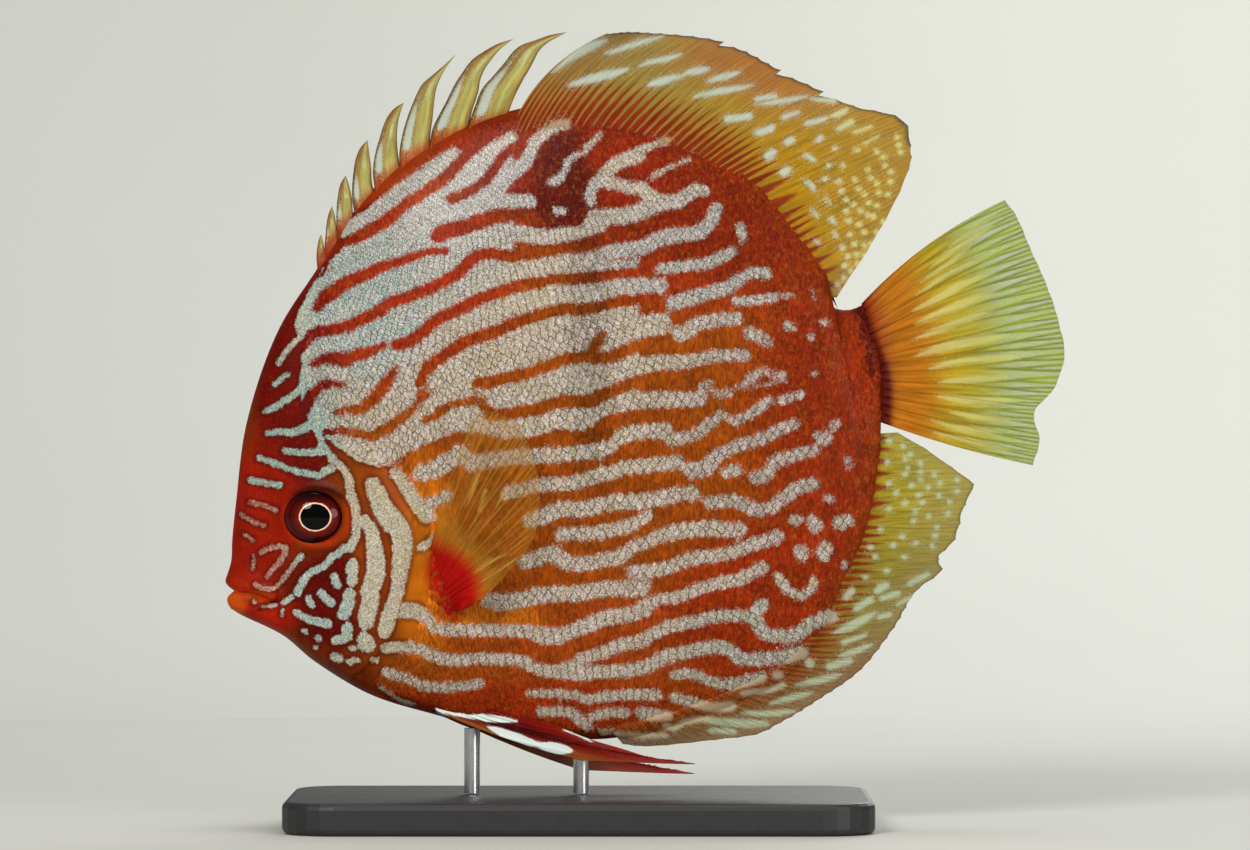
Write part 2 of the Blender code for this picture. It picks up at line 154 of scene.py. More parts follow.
def station(along, column):
    """One column of the stations at each share of the way."""
    return np.interp(along, STATIONS[:, WAY], STATIONS[:, column])


def body_place(along, up):
    """Drawing place of a body point: along from mouth to tail, up from belly to back."""
    top = on_line(UPPER, station(along, UPPER_SHARE))
    bottom = on_line(LOWER, station(along, LOWER_SHARE))
    place = bottom + (top - bottom) * up[..., None]
    bow = station(along, BOW) * np.sin(math.pi * np.clip(up, 0, 1))
    lips = -np.interp(up, LIP_FRONT[:, 0], LIP_FRONT[:, 1])
    place[..., 0] += lips + (bow - lips) * ease(along / LIP_ROLL)
    return place


def body_height(along):
    """Units from belly to back along the column at each share of the way."""
    apart = body_place(along, np.ones_like(along)) - body_place(along, np.zeros_like(along))
    return np.linalg.norm(apart, axis=-1)


print("outline spans", np.ptp(UPPER, axis=0).round(), np.ptp(LOWER, axis=0).round(), "units")

# %% [markdown]
# ## Folds of the head
#
# The head carries what makes the animal look alive: thick lips with a slit between them, a soft
# ring round the eye, a nostril, the crease of the cheek and the plate of the gill cover, whose
# rear edge lies over the body. Each is a small rise or hollow added to the thickness.

# %% Places on the head
EYE = (287.0, 558.0)
EYE_HALF_LENGTH = 0.0060
EYE_HALF_HEIGHT = 0.0053
EYE_HALF_DEPTH = 0.0034
EYE_SUNK = 0.0013
SOCKET_REACH = (33, 29.5)
SOCKET_DEPTH = 0.0030
LIP_SWELL = 0.0008
MOUTH_SLIT = 0.0013
LID_REACH = (33, 29)
NOSTRIL = (216.0, 606.0)
GILL_EDGE = (
    (352, 492), (364, 512), (376, 535), (388, 556), (393, 580), (391, 605), (386, 630),
    (383, 655), (378, 672), (368, 692), (350, 715), (325, 735), (300, 738),
)
CHEEK_CREASE = ((338, 556), (336, 600), (333, 640), (330, 680), (316, 706), (288, 714))
JAW_CREASE = ((252, 632), (249, 645), (241, 655), (228, 660), (212, 661))


def from_line(places, points):
    """Distance of places from a line, and its side: plus one to the tail of a line that runs down."""
    line = smooth_line(points, 60)
    best = np.full(places.shape[:-1], 1e9)
    side = np.zeros(places.shape[:-1])
    for start, end in zip(line[:-1], line[1:]):
        way = end - start
        apart = places - start
        share = np.clip((apart @ way) / (way @ way), 0, 1)
        away = apart - share[..., None] * way
        distance = np.hypot(away[..., 0], away[..., 1])
        nearer = distance < best
        best = np.where(nearer, distance, best)
        side = np.where(nearer, np.sign(way[1] * apart[..., 0] - way[0] * apart[..., 1]), side)
    return best, side


def from_eye(place, reach):
    """How far places lie from the eye, where 1 is the reach across and down."""
    return np.hypot((place[..., 0] - EYE[0]) / reach[0], (place[..., 1] - EYE[1]) / reach[1])


def mouth_line(along):
    """How far up the mouth line lies, at each column of the lips."""
    return np.interp(along, (0, LIP_END), (0.60, 0.25))


def body_half(along, up):
    """Half thickness of the body, as in the solid model."""
    width = station(along, WIDEST)
    snout = np.clip(along / LIP_END, 0, 1)
    width = np.where(along < LIP_END, 0.0006 + width * np.sqrt(1 - (1 - snout) ** 2), width)
    edge = np.where(up > 0.5, station(along, BACK_EDGE), station(along, BELLY_EDGE))
    edge = np.minimum(edge, width)
    across = 2 * np.clip(up, 0, 1) ** 0.86 - 1
    round_off = np.clip(1 - np.abs(across) ** 2.1, 0, 1) ** station(along, FULLNESS)
    half = edge + (width - edge) * round_off
    place = body_place(along, up)
    return half + 0.0005 * bell(from_eye(place, LID_REACH), 1.1, 0.22)


def head_relief(along, up, place):
    """Rises and hollows of the head, in metres."""
    snout = np.clip(along / LIP_END, 0, 1)
    lips = ease((LIP_END + 0.03 - along) / 0.05)
    from_mouth = up - mouth_line(along)
    swell = LIP_SWELL * bell(np.abs(from_mouth), 0.14, 0.10) - MOUTH_SLIT * bell(from_mouth, 0, 0.03)
    relief = lips * snout * swell
    relief = relief - SOCKET_DEPTH * ease((1.0 - from_eye(place, SOCKET_REACH)) / 0.35)
    nostril = np.hypot(place[..., 0] - NOSTRIL[0], place[..., 1] - NOSTRIL[1])
    relief = relief - 0.0007 * bell(nostril, 0, 3.2) + 0.0002 * bell(nostril, 6.0, 2.5)
    for points, depth, width in ((CHEEK_CREASE, 0.00025, 5.0), (JAW_CREASE, 0.00030, 4.0)):
        relief = relief - depth * bell(from_line(place, points)[0], 0, width)
    distance, side = from_line(place, GILL_EDGE)
    in_reach = ease((distance < 60) * (1 - distance / 60))
    return relief + np.where(side < 0, 0.00045, -0.00015) * in_reach * ease(distance / 2.5)


gill_steps = np.linalg.norm(np.diff(smooth_line(GILL_EDGE, 60), axis=0), axis=1)
print("gill edge is", round(float(gill_steps.sum()) * UNIT * 1000, 1), "mm long")

# %% [markdown]
# ## Markings
#
# The pattern is painted with strokes, as an artist would: each is a half width followed by the
# places it runs through, right and down. In front the ground is pale and the strokes are dark,
# and everywhere else pale strokes lie on a dark ground. Every point of the skin and of each scale
# learns how far inside a pale mark it lies, in units, and the finish turns that into colour, so
# an edge stays crisp between points. Half widths that change are given as start and end.
# Two short strokes on the lower lip, kept with the pale strokes of the head, are painted highlights.

# %% Pale field and the dark strokes on it
PALE_FIELD = (
    (283, 300), (300, 272), (330, 240), (360, 216), (400, 184), (436, 158), (470, 152), (500, 140),
    (503, 200), (503, 262), (520, 285), (640, 275), (642, 447), (592, 463), (550, 470), (520, 478),
    (475, 476), (432, 474), (400, 487), (372, 500), (352, 503), (330, 497), (305, 478), (285, 462),
    (272, 440), (266, 415), (270, 390), (268, 365), (272, 335),
)
DARK_STROKES = (
    (9, 4, 285, 325, 298, 315, 312, 305, 325, 298, 340, 292, 355, 285, 370, 280, 385, 275, 400, 270,
     412, 266, 428, 267),
    (7, 7, 268, 372, 276, 360, 290, 355, 318, 350, 335, 342, 352, 334, 368, 322, 384, 318, 400, 312,
     420, 303, 435, 295, 447, 286, 455, 277, 465, 270, 480, 269, 500, 273, 520, 268, 545, 266, 575, 257,
     600, 252, 620, 247, 640, 245, 655, 240, 680, 235),
    (4, 9, 281, 392, 290, 387, 300, 384, 318, 386), (8, 4, 318, 385, 340, 378, 350, 375, 360, 369),
    (7, 7, 372, 370, 385, 368, 398, 360, 410, 348, 420, 341, 436, 334, 455, 324, 470, 317, 490, 311,
     510, 304, 530, 302, 550, 298, 575, 296, 600, 294, 640, 290),
    (7, 4, 272, 440, 280, 425, 292, 413, 305, 412, 315, 414),
    (4, 8, 307, 444, 320, 441, 332, 441, 343, 434, 352, 425),
    (8, 4, 352, 425, 361, 412, 368, 402, 374, 396),
    (7, 7, 400, 410, 405, 398, 412, 391, 422, 384, 432, 377, 442, 370, 455, 364, 470, 359, 485, 355,
     500, 347, 515, 342, 530, 337, 545, 333, 560, 329, 575, 331, 590, 329, 605, 325, 620, 322, 640,
     320),
    (4, 7, 297, 465, 312, 464, 330, 467, 345, 470, 355, 466, 365, 460),
    (7, 3, 365, 460, 375, 453, 388, 443, 396, 434, 404, 426),
    (5, 6, 372, 500, 385, 495, 400, 487, 415, 480),
    (7, 7, 462, 412, 475, 411, 490, 407, 505, 404, 520, 400, 535, 394, 550, 388, 565, 384, 580, 383,
     595, 385, 610, 383, 622, 377, 640, 370),
    (8, 5, 590, 374, 600, 358), (5, 5, 404, 452, 415, 448, 425, 440, 436, 435, 450, 432, 466, 429),
    (6, 6, 400, 427, 408, 423),
    (7, 8, 470, 438, 478, 447, 492, 446, 508, 444, 525, 441, 540, 436, 555, 432, 585, 432, 600, 425,
     615, 420, 630, 413, 640, 410),
    (6, 8, 400, 487, 410, 485, 420, 479, 432, 473, 445, 471, 460, 472, 475, 476, 490, 479, 520, 478,
     535, 473, 550, 469, 580, 470, 592, 465, 600, 458, 612, 452, 625, 450, 640, 447),
    (9, 6, 293, 273, 303, 262, 315, 254, 330, 250, 345, 243, 360, 235, 372, 225, 384, 214, 398, 206,
     412, 197),
    (7, 8, 412, 197, 425, 187, 437, 175, 447, 163, 455, 155, 466, 146, 480, 139),
    (6, 6, 433, 209, 445, 205, 458, 198, 470, 190, 480, 177, 490, 163, 500, 152),
    (9, 9, 419, 249, 430, 244, 440, 242, 455, 238, 470, 232, 485, 228, 500, 225, 520, 228),
    (4, 3, 281, 296, 290, 290, 300, 286), (4, 5, 497, 202, 505, 194, 515, 189, 524, 187),
)

# %% Pale strokes of the back and flank
PALE_BACK = (
    (7, 6, 312, 245, 330, 236, 345, 226, 360, 213, 375, 201, 390, 190, 405, 180, 420, 168, 436, 158),
    (6, 6, 480, 153, 490, 147, 500, 141),
    (8, 5, 484, 197, 490, 188, 503, 179, 514, 170, 521, 158, 525, 147, 535, 138, 548, 130, 560, 127),
    (8, 7, 480, 212, 495, 211, 510, 211, 520, 212),
    (5, 2, 545, 190, 553, 187, 559, 178, 562, 168, 570, 161, 580, 158),
    (4, 3, 583, 153, 590, 146, 597, 138), (4, 4, 549, 222, 557, 222),
    (5, 8, 588, 212, 586, 205, 590, 195, 598, 187, 606, 178, 615, 170, 625, 165, 638, 162),
    (4, 3, 640, 155, 655, 150, 672, 145),
    (6, 8, 600, 190, 615, 192, 630, 196, 645, 198, 655, 208, 668, 212, 682, 212),
    (8, 6, 682, 212, 693, 205, 702, 198, 712, 200),
    (9, 9, 588, 238, 592, 230, 605, 229, 620, 228, 635, 225, 650, 218, 660, 215),
    (10, 6, 480, 250, 495, 249, 510, 247, 530, 251, 545, 250, 560, 248, 575, 246, 597, 240),
    (8, 8, 480, 292, 495, 290, 510, 287, 525, 284, 540, 281, 555, 279, 570, 277, 585, 276, 600, 271,
     615, 266, 630, 264),
    (8, 7, 630, 264, 645, 262, 660, 254, 675, 249, 690, 248, 705, 247, 716, 238, 722, 228, 725, 220),
    (6, 6, 665, 286, 680, 284, 695, 282, 710, 281, 720, 278, 732, 272, 742, 267),
    (3, 2, 655, 185, 668, 177, 695, 165), (5, 3, 752, 240, 755, 255),
    (8, 8, 545, 311, 565, 312, 585, 311, 605, 308, 625, 304, 645, 304, 664, 305),
    (8, 6, 678, 324, 690, 320, 705, 316, 720, 312, 735, 308, 748, 299, 765, 290, 780, 291),
    (5, 5, 748, 322, 760, 321, 775, 320, 790, 317), (3, 3, 800, 315, 808, 316),
    (2, 2, 832, 310, 834, 318), (11, 12, 632, 352, 650, 348, 664, 346),
    (8, 7, 685, 358, 695, 354, 705, 346, 718, 344, 732, 342, 748, 341),
    (7, 6, 762, 357, 772, 361, 782, 367), (5, 4, 803, 349, 810, 351), (4, 4, 829, 359, 830, 361),
    (4, 4, 844, 345, 846, 346),
    (9, 6, 620, 398, 635, 394, 650, 391, 665, 389, 680, 389, 695, 388, 710, 385, 725, 382, 740, 381,
     758, 381),
    (5, 4, 762, 406, 770, 402, 778, 398), (3, 3, 785, 400, 800, 402),
    (9, 8, 620, 433, 640, 431, 660, 430, 680, 430, 708, 429), (6, 4, 711, 418, 718, 412),
    (5, 4, 728, 424, 740, 422), (3, 3, 748, 415, 754, 415),
    (8, 8, 620, 470, 632, 466, 645, 465, 668, 463),
    (7, 6, 675, 474, 690, 472, 702, 468, 712, 461, 722, 453, 730, 446),
    (6, 5, 745, 453, 755, 450, 765, 444, 775, 437, 782, 431), (5, 4, 797, 430, 808, 427, 818, 424),
)

# %% Pale strokes round the breast fin and low on the flank
PALE_LOW = (
    (10, 8, 380, 476, 400, 470, 420, 462, 440, 455, 460, 447),
    (8, 7, 480, 462, 500, 460, 540, 456, 560, 452),
    (6, 9, 372, 509, 382, 522, 390, 536, 400, 550, 407, 558),
    (9, 9, 400, 511, 415, 507, 430, 498, 445, 488),
    (8, 8, 455, 500, 480, 495, 520, 492, 565, 489, 590, 487, 607, 482),
    (7, 8, 495, 533, 520, 525, 545, 522, 565, 522, 580, 518, 595, 513, 610, 510, 620, 506, 635, 503,
     650, 502, 665, 500, 682, 499),
    (8, 9, 697, 507, 710, 507, 718, 500),
    (7, 6, 718, 500, 725, 492, 733, 487, 745, 481, 760, 477, 775, 472, 790, 465, 803, 459, 812, 456),
    (6, 6, 735, 510, 748, 507), (7, 6, 768, 515, 778, 514, 784, 506, 790, 498),
    (7, 6, 790, 497, 805, 493, 820, 488, 833, 486), (6, 7, 838, 470, 845, 474),
    (5, 5, 854, 458, 857, 457),
    (8, 8, 520, 563, 540, 556, 555, 550, 580, 550, 600, 545, 620, 542, 640, 542, 655, 540, 670, 537,
     685, 533, 700, 533),
    (7, 7, 718, 543, 730, 542, 745, 541, 760, 546, 770, 552, 785, 549, 795, 541, 805, 532, 815, 527,
     832, 522),
    (4, 4, 846, 539, 852, 539), (6, 6, 811, 562, 814, 562), (6, 7, 831, 561, 835, 570),
    (8, 6, 861, 565, 872, 563), (8, 8, 818, 597, 819, 600), (8, 8, 844, 593, 844, 601),
    (4, 4, 867, 611, 867, 613), (3, 4, 868, 494, 871, 503),
    (7, 7, 555, 578, 570, 577, 580, 577, 600, 575, 620, 571, 632, 568),
    (6, 5, 632, 568, 642, 561, 650, 557),
    (8, 8, 515, 608, 530, 603, 545, 598, 553, 606, 570, 611, 585, 610, 600, 606, 615, 604, 625, 598),
    (6, 7, 625, 598, 635, 591, 648, 587, 660, 580, 675, 575),
    (8, 8, 675, 576, 690, 573, 720, 571, 750, 573),
    (7, 7, 633, 619, 645, 618, 660, 617, 675, 614, 690, 607, 705, 603, 720, 602, 735, 600, 750, 595,
     765, 588, 780, 585, 793, 580),
    (9, 8, 475, 650, 490, 653, 510, 650, 530, 645, 550, 643, 570, 643, 590, 640, 610, 637, 630, 638,
     645, 635),
    (6, 7, 646, 655, 660, 650, 675, 648, 690, 645, 705, 638, 720, 634, 735, 630, 750, 628, 762, 622,
     775, 615),
    (6, 7, 408, 672, 415, 680, 430, 683, 470, 683, 510, 684, 530, 685, 550, 688),
    (8, 8, 530, 690, 545, 692, 560, 687, 575, 681, 590, 676, 600, 670, 615, 668, 635, 665, 648, 660),
    (6, 6, 362, 703, 375, 702, 390, 702, 400, 704, 410, 710, 425, 714, 440, 717, 470, 714, 500, 716,
     512, 717, 520, 722),
    (6, 7, 520, 722, 535, 727, 550, 727, 565, 724, 575, 716, 590, 711, 605, 706, 620, 700, 635, 697,
     650, 691),
    (7, 6, 650, 691, 660, 685, 672, 680, 685, 677, 700, 675, 715, 670, 730, 668, 745, 667, 765, 668),
    (7, 7, 765, 668, 776, 655),
    (7, 7, 765, 668, 772, 680, 778, 688, 790, 690, 805, 690, 820, 685, 826, 678, 840, 671, 852, 668),
    (7, 7, 545, 729, 575, 732, 600, 729, 630, 728, 645, 725, 658, 719, 670, 712, 685, 709, 700, 706,
     715, 703, 730, 702, 742, 706, 748, 714, 760, 716, 790, 714, 805, 712, 820, 708),
    (5, 5, 362, 730, 375, 733, 385, 736, 395, 741, 405, 745, 420, 746, 435, 745, 450, 744, 465, 742),
    (5, 6, 680, 733, 692, 731, 705, 733, 718, 740, 730, 743, 745, 743, 760, 739, 775, 735),
    (4, 6, 520, 752, 535, 753, 550, 753, 570, 755, 585, 760, 600, 756, 620, 755, 640, 754, 660, 755),
    (5, 6, 678, 758, 690, 760, 705, 764, 720, 768, 742, 767),
    (5, 6, 532, 773, 545, 773, 560, 772, 570, 777, 578, 785, 583, 789),
    (5, 5, 590, 778, 600, 776, 615, 773, 625, 775), (6, 6, 642, 774, 655, 776, 672, 777),
    (5, 5, 793, 625, 800, 635, 808, 643, 820, 645, 830, 640, 833, 630),
    (4, 4, 755, 752, 785, 748, 798, 743), (5, 5, 791, 732, 795, 732), (5, 5, 827, 718, 829, 719),
    (4, 3, 600, 795, 620, 795, 645, 797, 670, 798),
    (4, 4, 670, 788, 680, 790, 690, 784, 705, 781, 720, 782, 740, 786, 760, 787, 780, 786),
    (6, 6, 410, 542, 420, 540, 430, 535), (5, 5, 402, 592, 410, 587, 418, 581),
    (9, 7, 386, 662, 396, 661, 404, 668), (3, 3, 348, 716, 352, 716),
    (2, 2, 355, 745, 365, 752, 375, 760, 395, 765),
)

# %% Pale strokes of the head, with two painted highlights on the lower lip
PALE_HEAD_AND_LIP_HIGHLIGHTS = (
    (3, 3, 244, 389, 250, 380, 258, 370, 267, 362),
    (5, 6, 287, 303, 280, 318, 273, 332, 268, 345, 270, 354), (3, 3, 240, 413, 247, 407, 254, 402),
    (3, 4, 228, 443, 240, 438, 250, 432, 262, 424, 272, 414, 280, 408),
    (3, 5, 232, 467, 245, 465, 258, 466, 270, 462, 283, 455),
    (3, 4, 250, 486, 262, 487, 275, 488, 295, 486),
    (3, 4, 222, 494, 234, 497, 248, 503, 262, 508, 278, 511, 288, 514, 296, 508, 304, 505),
    (3, 3, 212, 518, 222, 520, 235, 522, 246, 524), (2.2, 2.6, 212, 543, 230, 546, 241, 551),
    (2.0, 2.2, 203, 556, 218, 565, 228, 568), (1.8, 1.8, 207, 578, 216, 584),
    (3.5, 5, 283, 455, 288, 466, 291, 478, 297, 487, 304, 495, 312, 502, 318, 510, 322, 520, 323, 530,
     326, 540, 329, 550, 330, 560),
    (5, 4, 330, 560, 330, 570, 329, 580, 326, 588, 322, 594),
    (4, 4, 318, 592, 310, 598, 303, 603, 299, 608),
    (4, 4, 294, 613, 285, 617, 277, 622, 271, 629, 267, 636, 265, 642),
    (3, 3, 258, 647, 253, 651, 250, 653),
    (2.6, 2.6, 224, 598, 230, 595, 238, 592, 246, 591, 252, 593, 251, 600, 246, 607, 240, 614, 235, 620,
     232, 624),
    (1.5, 1.5, 216, 616, 217, 602),
    (2.4, 2.4, 218, 633, 225, 636, 233, 638, 240, 637, 247, 630, 253, 621, 260, 612, 266, 605, 270, 601),
    (6.5, 6, 325, 611, 325, 629), (4.5, 4.5, 305, 625, 309, 634),
    (4.5, 4.5, 291, 643, 297, 649, 303, 653), (4, 4, 277, 649, 280, 655),
    (6, 7.5, 322, 643, 321, 652, 316, 665), (3, 5, 263, 663, 270, 668, 280, 672, 290, 675, 298, 676),
    (3, 3, 272, 684, 274, 684), (3, 3, 287, 692, 289, 692), (2, 2, 284, 702, 285, 702),
    (2, 2, 248, 662, 248, 666), (6, 5, 320, 680, 319, 690, 312, 694, 307, 695),
    (4, 4, 304, 712, 311, 715), (4, 3, 323, 718, 331, 716), (3.5, 3.5, 325, 703, 327, 703),
    (6, 10, 338, 562, 346, 574, 349, 590, 351, 607), (10.5, 10, 351, 607, 351, 621, 346, 636),
    (10.5, 8.5, 345, 640, 345, 652, 341, 666, 340, 674), (8.5, 9, 339, 694, 341, 699),
    (9, 12.5, 348, 524, 352, 534, 358, 548, 368, 562),
    (12.5, 10, 368, 562, 377, 573, 381, 586, 379, 607), (10, 7.5, 379, 607, 377, 622, 375, 640),
    # The stroke along the lower lip from 227, 658 and the dot at 217, 652 are painted highlights.
    (7.5, 8, 375, 640, 371, 653, 366, 666, 361, 684), (1.7, 1.9, 227, 658, 233, 657, 240, 655),
    (1.8, 1.8, 217, 652, 218, 653),
)
LATERAL_LINE = (
    (2.2, 2.2, 408, 419, 416, 415), (2.2, 2.2, 422, 412, 431, 408), (2.4, 2.4, 437, 405, 452, 397),
    (2.2, 2.2, 463, 392, 474, 388), (2.2, 2.2, 481, 385, 492, 381), (2.2, 2.2, 499, 379, 511, 375),
    (2, 2, 519, 371, 529, 368), (2, 2, 538, 366, 549, 363), (2, 2, 557, 361, 569, 359),
    (2, 2, 577, 357, 589, 355), (2, 2, 597, 353, 609, 351), (2, 2, 616, 349, 627, 347),
    (2, 2, 635, 344, 652, 345), (2, 2, 759, 416, 768, 414), (2, 2, 775, 413, 785, 411),
    (2, 2, 791, 409, 800, 407), (2, 2, 830, 402, 838, 400),
)
print(len(DARK_STROKES), "dark strokes,", len(PALE_BACK) + len(PALE_LOW) + len(PALE_HEAD_AND_LIP_HIGHLIGHTS), "pale strokes")

# %% How far inside a stroke or field a place lies


def inside_strokes(place, strokes, pointed=False):
    """How many units inside the nearest stroke each place lies: minus is outside."""
    across, down = place[..., 0], place[..., 1]
    best = np.full(across.shape, -40.0)
    for stroke in strokes:
        points = np.array(stroke[2:], dtype=float).reshape(-1, 2)
        if pointed and len(stroke) > 6:
            points = smooth_line(points, 9)
        widths = np.linspace(stroke[0], stroke[1], len(points))
        if pointed and len(points) == 9:
            widths *= 0.25 + 0.95 * np.sin(math.pi * np.linspace(0, 1, 9)) ** 0.7
        low, high = points.min(axis=0) - 30, points.max(axis=0) + 30
        near = (across > low[0]) & (across < high[0]) & (down > low[1]) & (down < high[1])
        x, y = across[near], down[near]
        found = best[near]
        for start, end, w0, w1 in zip(points[:-1], points[1:], widths[:-1], widths[1:]):
            way = end - start
            share = np.clip(((x - start[0]) * way[0] + (y - start[1]) * way[1]) / (way @ way), 0, 1)
            distance = np.hypot(x - start[0] - share * way[0], y - start[1] - share * way[1])
            found = np.maximum(found, w0 + (w1 - w0) * share - distance)
        best[near] = found
    return best


def inside_field(place, corners):
    """How many units inside a closed field each place lies: minus is outside."""
    x, y = place[..., 0], place[..., 1]
    within = np.zeros(x.shape, dtype=bool)
    nearest = np.full(x.shape, 1e9)
    points = np.array(corners, dtype=float)
    for start, end in zip(points, np.roll(points, -1, axis=0)):
        way = end - start
        crosses = (start[1] > y) != (end[1] > y)
        if way[1] != 0:
            within ^= crosses & (x < start[0] + (y - start[1]) * way[0] / way[1])
        share = np.clip(((x - start[0]) * way[0] + (y - start[1]) * way[1]) / (way @ way), 0, 1)
        nearest = np.minimum(nearest, np.hypot(x - start[0] - share * way[0], y - start[1] - share * way[1]))
    return np.where(within, nearest, -nearest)


def pale_at(place):
    """How many units inside the pale pattern each place lies, with two painted highlights on the lip."""
    field = np.minimum(inside_field(place, PALE_FIELD), -inside_strokes(place, DARK_STROKES))
    pale = np.maximum(field, inside_strokes(place, PALE_BACK + PALE_LOW + PALE_HEAD_AND_LIP_HIGHLIGHTS))
    return np.clip(np.maximum(pale, inside_strokes(place, LATERAL_LINE)), -12, 12)

# %% [markdown]
# ## Colours
#
# Colours are named as paint is, by red, green and blue from 0 to 255. Under the pattern the skin
# changes slowly from crimson on the head to orange brown on the flank and brick red behind, so
# the ground and the pale marks are each washed with a few broad, soft patches. One dim upright bar
# crosses the flank and a dark blotch sits high on the back.
# One small patch on the front of the lower lip is a painted highlight.

# %% Paint and soft patches


def paint(red, green, blue):
    """A paint as the light that it gives back."""
    shares = np.array((red, green, blue)) / 255
    return np.where(shares <= 0.04045, shares / 12.92, ((shares + 0.055) / 1.055) ** 2.4)


GROUND = paint(142, 63, 7)
# Middle across and down, reach across and down, and paint
GROUND_PATCHES_AND_LIP_HIGHLIGHT = (
    (620, 700, 190, 70, paint(150, 60, 12)), (500, 770, 230, 36, paint(146, 44, 10)),
    (700, 262, 160, 90, paint(140, 44, 12)), (885, 420, 140, 270, paint(134, 38, 8)),
    (800, 660, 150, 120, paint(138, 38, 7)), (730, 210, 170, 90, paint(120, 30, 8)),
    (350, 290, 190, 150, paint(146, 38, 10)), (600, 110, 330, 90, paint(132, 40, 9)),
    (400, 170, 90, 60, paint(158, 56, 14)), (560, 170, 160, 76, paint(128, 30, 10)),
    (555, 195, 38, 75, paint(88, 16, 10)), (262, 430, 60, 170, paint(112, 12, 6)),
    (215, 570, 60, 110, paint(154, 26, 7)), (300, 650, 62, 74, paint(98, 6, 4)),
    (300, 735, 70, 26, paint(112, 40, 12)), (222, 668, 50, 30, paint(172, 28, 8)),
    (205, 636, 30, 16, paint(166, 34, 9)), (222, 646, 20, 7, paint(186, 60, 14)),
    # The patch at 192, 656 is a painted highlight: lighter orange on the front of the lower lip.
    (192, 656, 20, 18, paint(204, 78, 16)), (402, 600, 40, 120, paint(198, 106, 14)),
    (470, 668, 70, 20, paint(184, 98, 16)), (366, 540, 26, 44, paint(176, 84, 30)),
    (352, 630, 30, 90, paint(150, 62, 10)), (421, 620, 17, 33, paint(150, 13, 6)),
    (433, 646, 20, 30, paint(150, 13, 6)),
)
SHEEN = paint(190, 170, 138)
SHEEN_PATCHES = (
    (370, 240, 150, 120, paint(178, 176, 162)), (335, 330, 80, 90, paint(164, 182, 172)),
    (250, 470, 70, 110, paint(146, 166, 152)), (300, 640, 70, 80, paint(168, 182, 170)),
    (352, 620, 34, 96, paint(200, 186, 160)), (540, 650, 190, 90, paint(190, 166, 140)),
    (800, 460, 160, 150, paint(166, 142, 120)), (790, 700, 130, 70, paint(170, 162, 136)),
    (710, 270, 140, 80, paint(166, 160, 148)), (520, 200, 90, 60, paint(174, 167, 157)),
    (222, 612, 44, 46, paint(178, 106, 78)), (215, 560, 40, 30, paint(164, 78, 44)),
)
BAR = (583, 370, 30, 190)
STALK_BARS = (
    ((881, 331), (886, 345), (891, 368), (894, 395)), ((904, 362), (910, 385), (913, 410), (912, 446)),
)
STALK_PAINT = paint(84, 12, 6)
ORBIT_PAINT = paint(176, 50, 14)
ORBIT_DARK = paint(58, 8, 4)
BACK_RIM = paint(124, 42, 9)
BELLY_RIM = paint(130, 50, 10)


def wash(place, base, patches):
    """A colour at each place: the base, washed over by each soft patch in turn."""
    color = np.broadcast_to(base, place.shape[:-1] + (3,)).copy()
    for across, down, reach_across, reach_down, patch in patches:
        away = np.hypot((place[..., 0] - across) / reach_across, (place[..., 1] - down) / reach_down)
        share = ease((1.15 - away) / 0.6)[..., None]
        color += (patch - color) * share
    return color


def ground_at(place):
    """The colour under the pattern, with socket rim, soft edges, stalk bars and a painted lip highlight."""
    color = wash(place, GROUND, GROUND_PATCHES_AND_LIP_HIGHLIGHT)
    rim = ORBIT_PAINT + (ORBIT_DARK - ORBIT_PAINT) * ease((EYE[1] - 4 - place[..., 1]) / 22)[..., None]
    color += (rim - color) * bell(from_eye(place, SOCKET_REACH), 1.06, 0.13)[..., None]
    back = ease((34 - from_line(place, UPPER_LINE[6:17])[0]) / 30) * ease((place[..., 0] - 470) / 60)
    color += (BACK_RIM - color) * 0.7 * back[..., None]
    belly = ease((30 - from_line(place, LOWER_LINE[7:17])[0]) / 26) * ease((place[..., 0] - 600) / 60)
    color += (BELLY_RIM - color) * 0.7 * belly[..., None]
    for bar in STALK_BARS:
        color += (STALK_PAINT - color) * ease((10 - from_line(place, bar)[0]) / 8)[..., None]
    return color * (1 - 0.45 * bar_at(place))[..., None]


def sheen_at(place):
    """The colour of a pale mark."""
    return wash(place, SHEEN, SHEEN_PATCHES) * (1 - 0.42 * bar_at(place))[..., None]


def bar_at(place):
    """How dark the dim upright bar is."""
    away = np.hypot((place[..., 0] - BAR[0]) / BAR[2], (place[..., 1] - BAR[1]) / BAR[3])
    return ease((1.2 - away) / 0.8)


CAMERA_AWAY = 1.2
VIEW_MIDDLE = (0.0086, 0.0757)


def seen_place(points):
    """Drawing place at which a point of the body shows, a little larger where it is nearer."""
    nearer = CAMERA_AWAY / (CAMERA_AWAY - np.abs(points[:, 1]))
    across = VIEW_MIDDLE[0] + (points[:, 0] - VIEW_MIDDLE[0]) * nearer
    height = VIEW_MIDDLE[1] + (points[:, 2] - VIEW_MIDDLE[1]) * nearer
    place = np.column_stack([across / UNIT + MIDDLE_ACROSS, FLOOR_DOWN - height / UNIT])
    other = points[:, 1] > 0
    place[other] += 5 * np.sin(place[other][:, ::-1] / 41 + (0.5, 2.0)) + (3, -3)
    return place


print(len(GROUND_PATCHES_AND_LIP_HIGHLIGHT), "patches on the ground and", len(SHEEN_PATCHES), "on the pale marks")

# %% [markdown]
# ## The skin
#
# One skin covers head, gill covers, body and tail stalk, so that no seam shows. A flat grid is
# added and each of its points is laid on the left flank, with close columns at the head and rows
# that crowd towards back and belly, where the flank turns over. The Mirror modifier makes the
# right flank and closes the edge between them. The skin lies inside the solid by the thickness
# of the scales that will cover it.

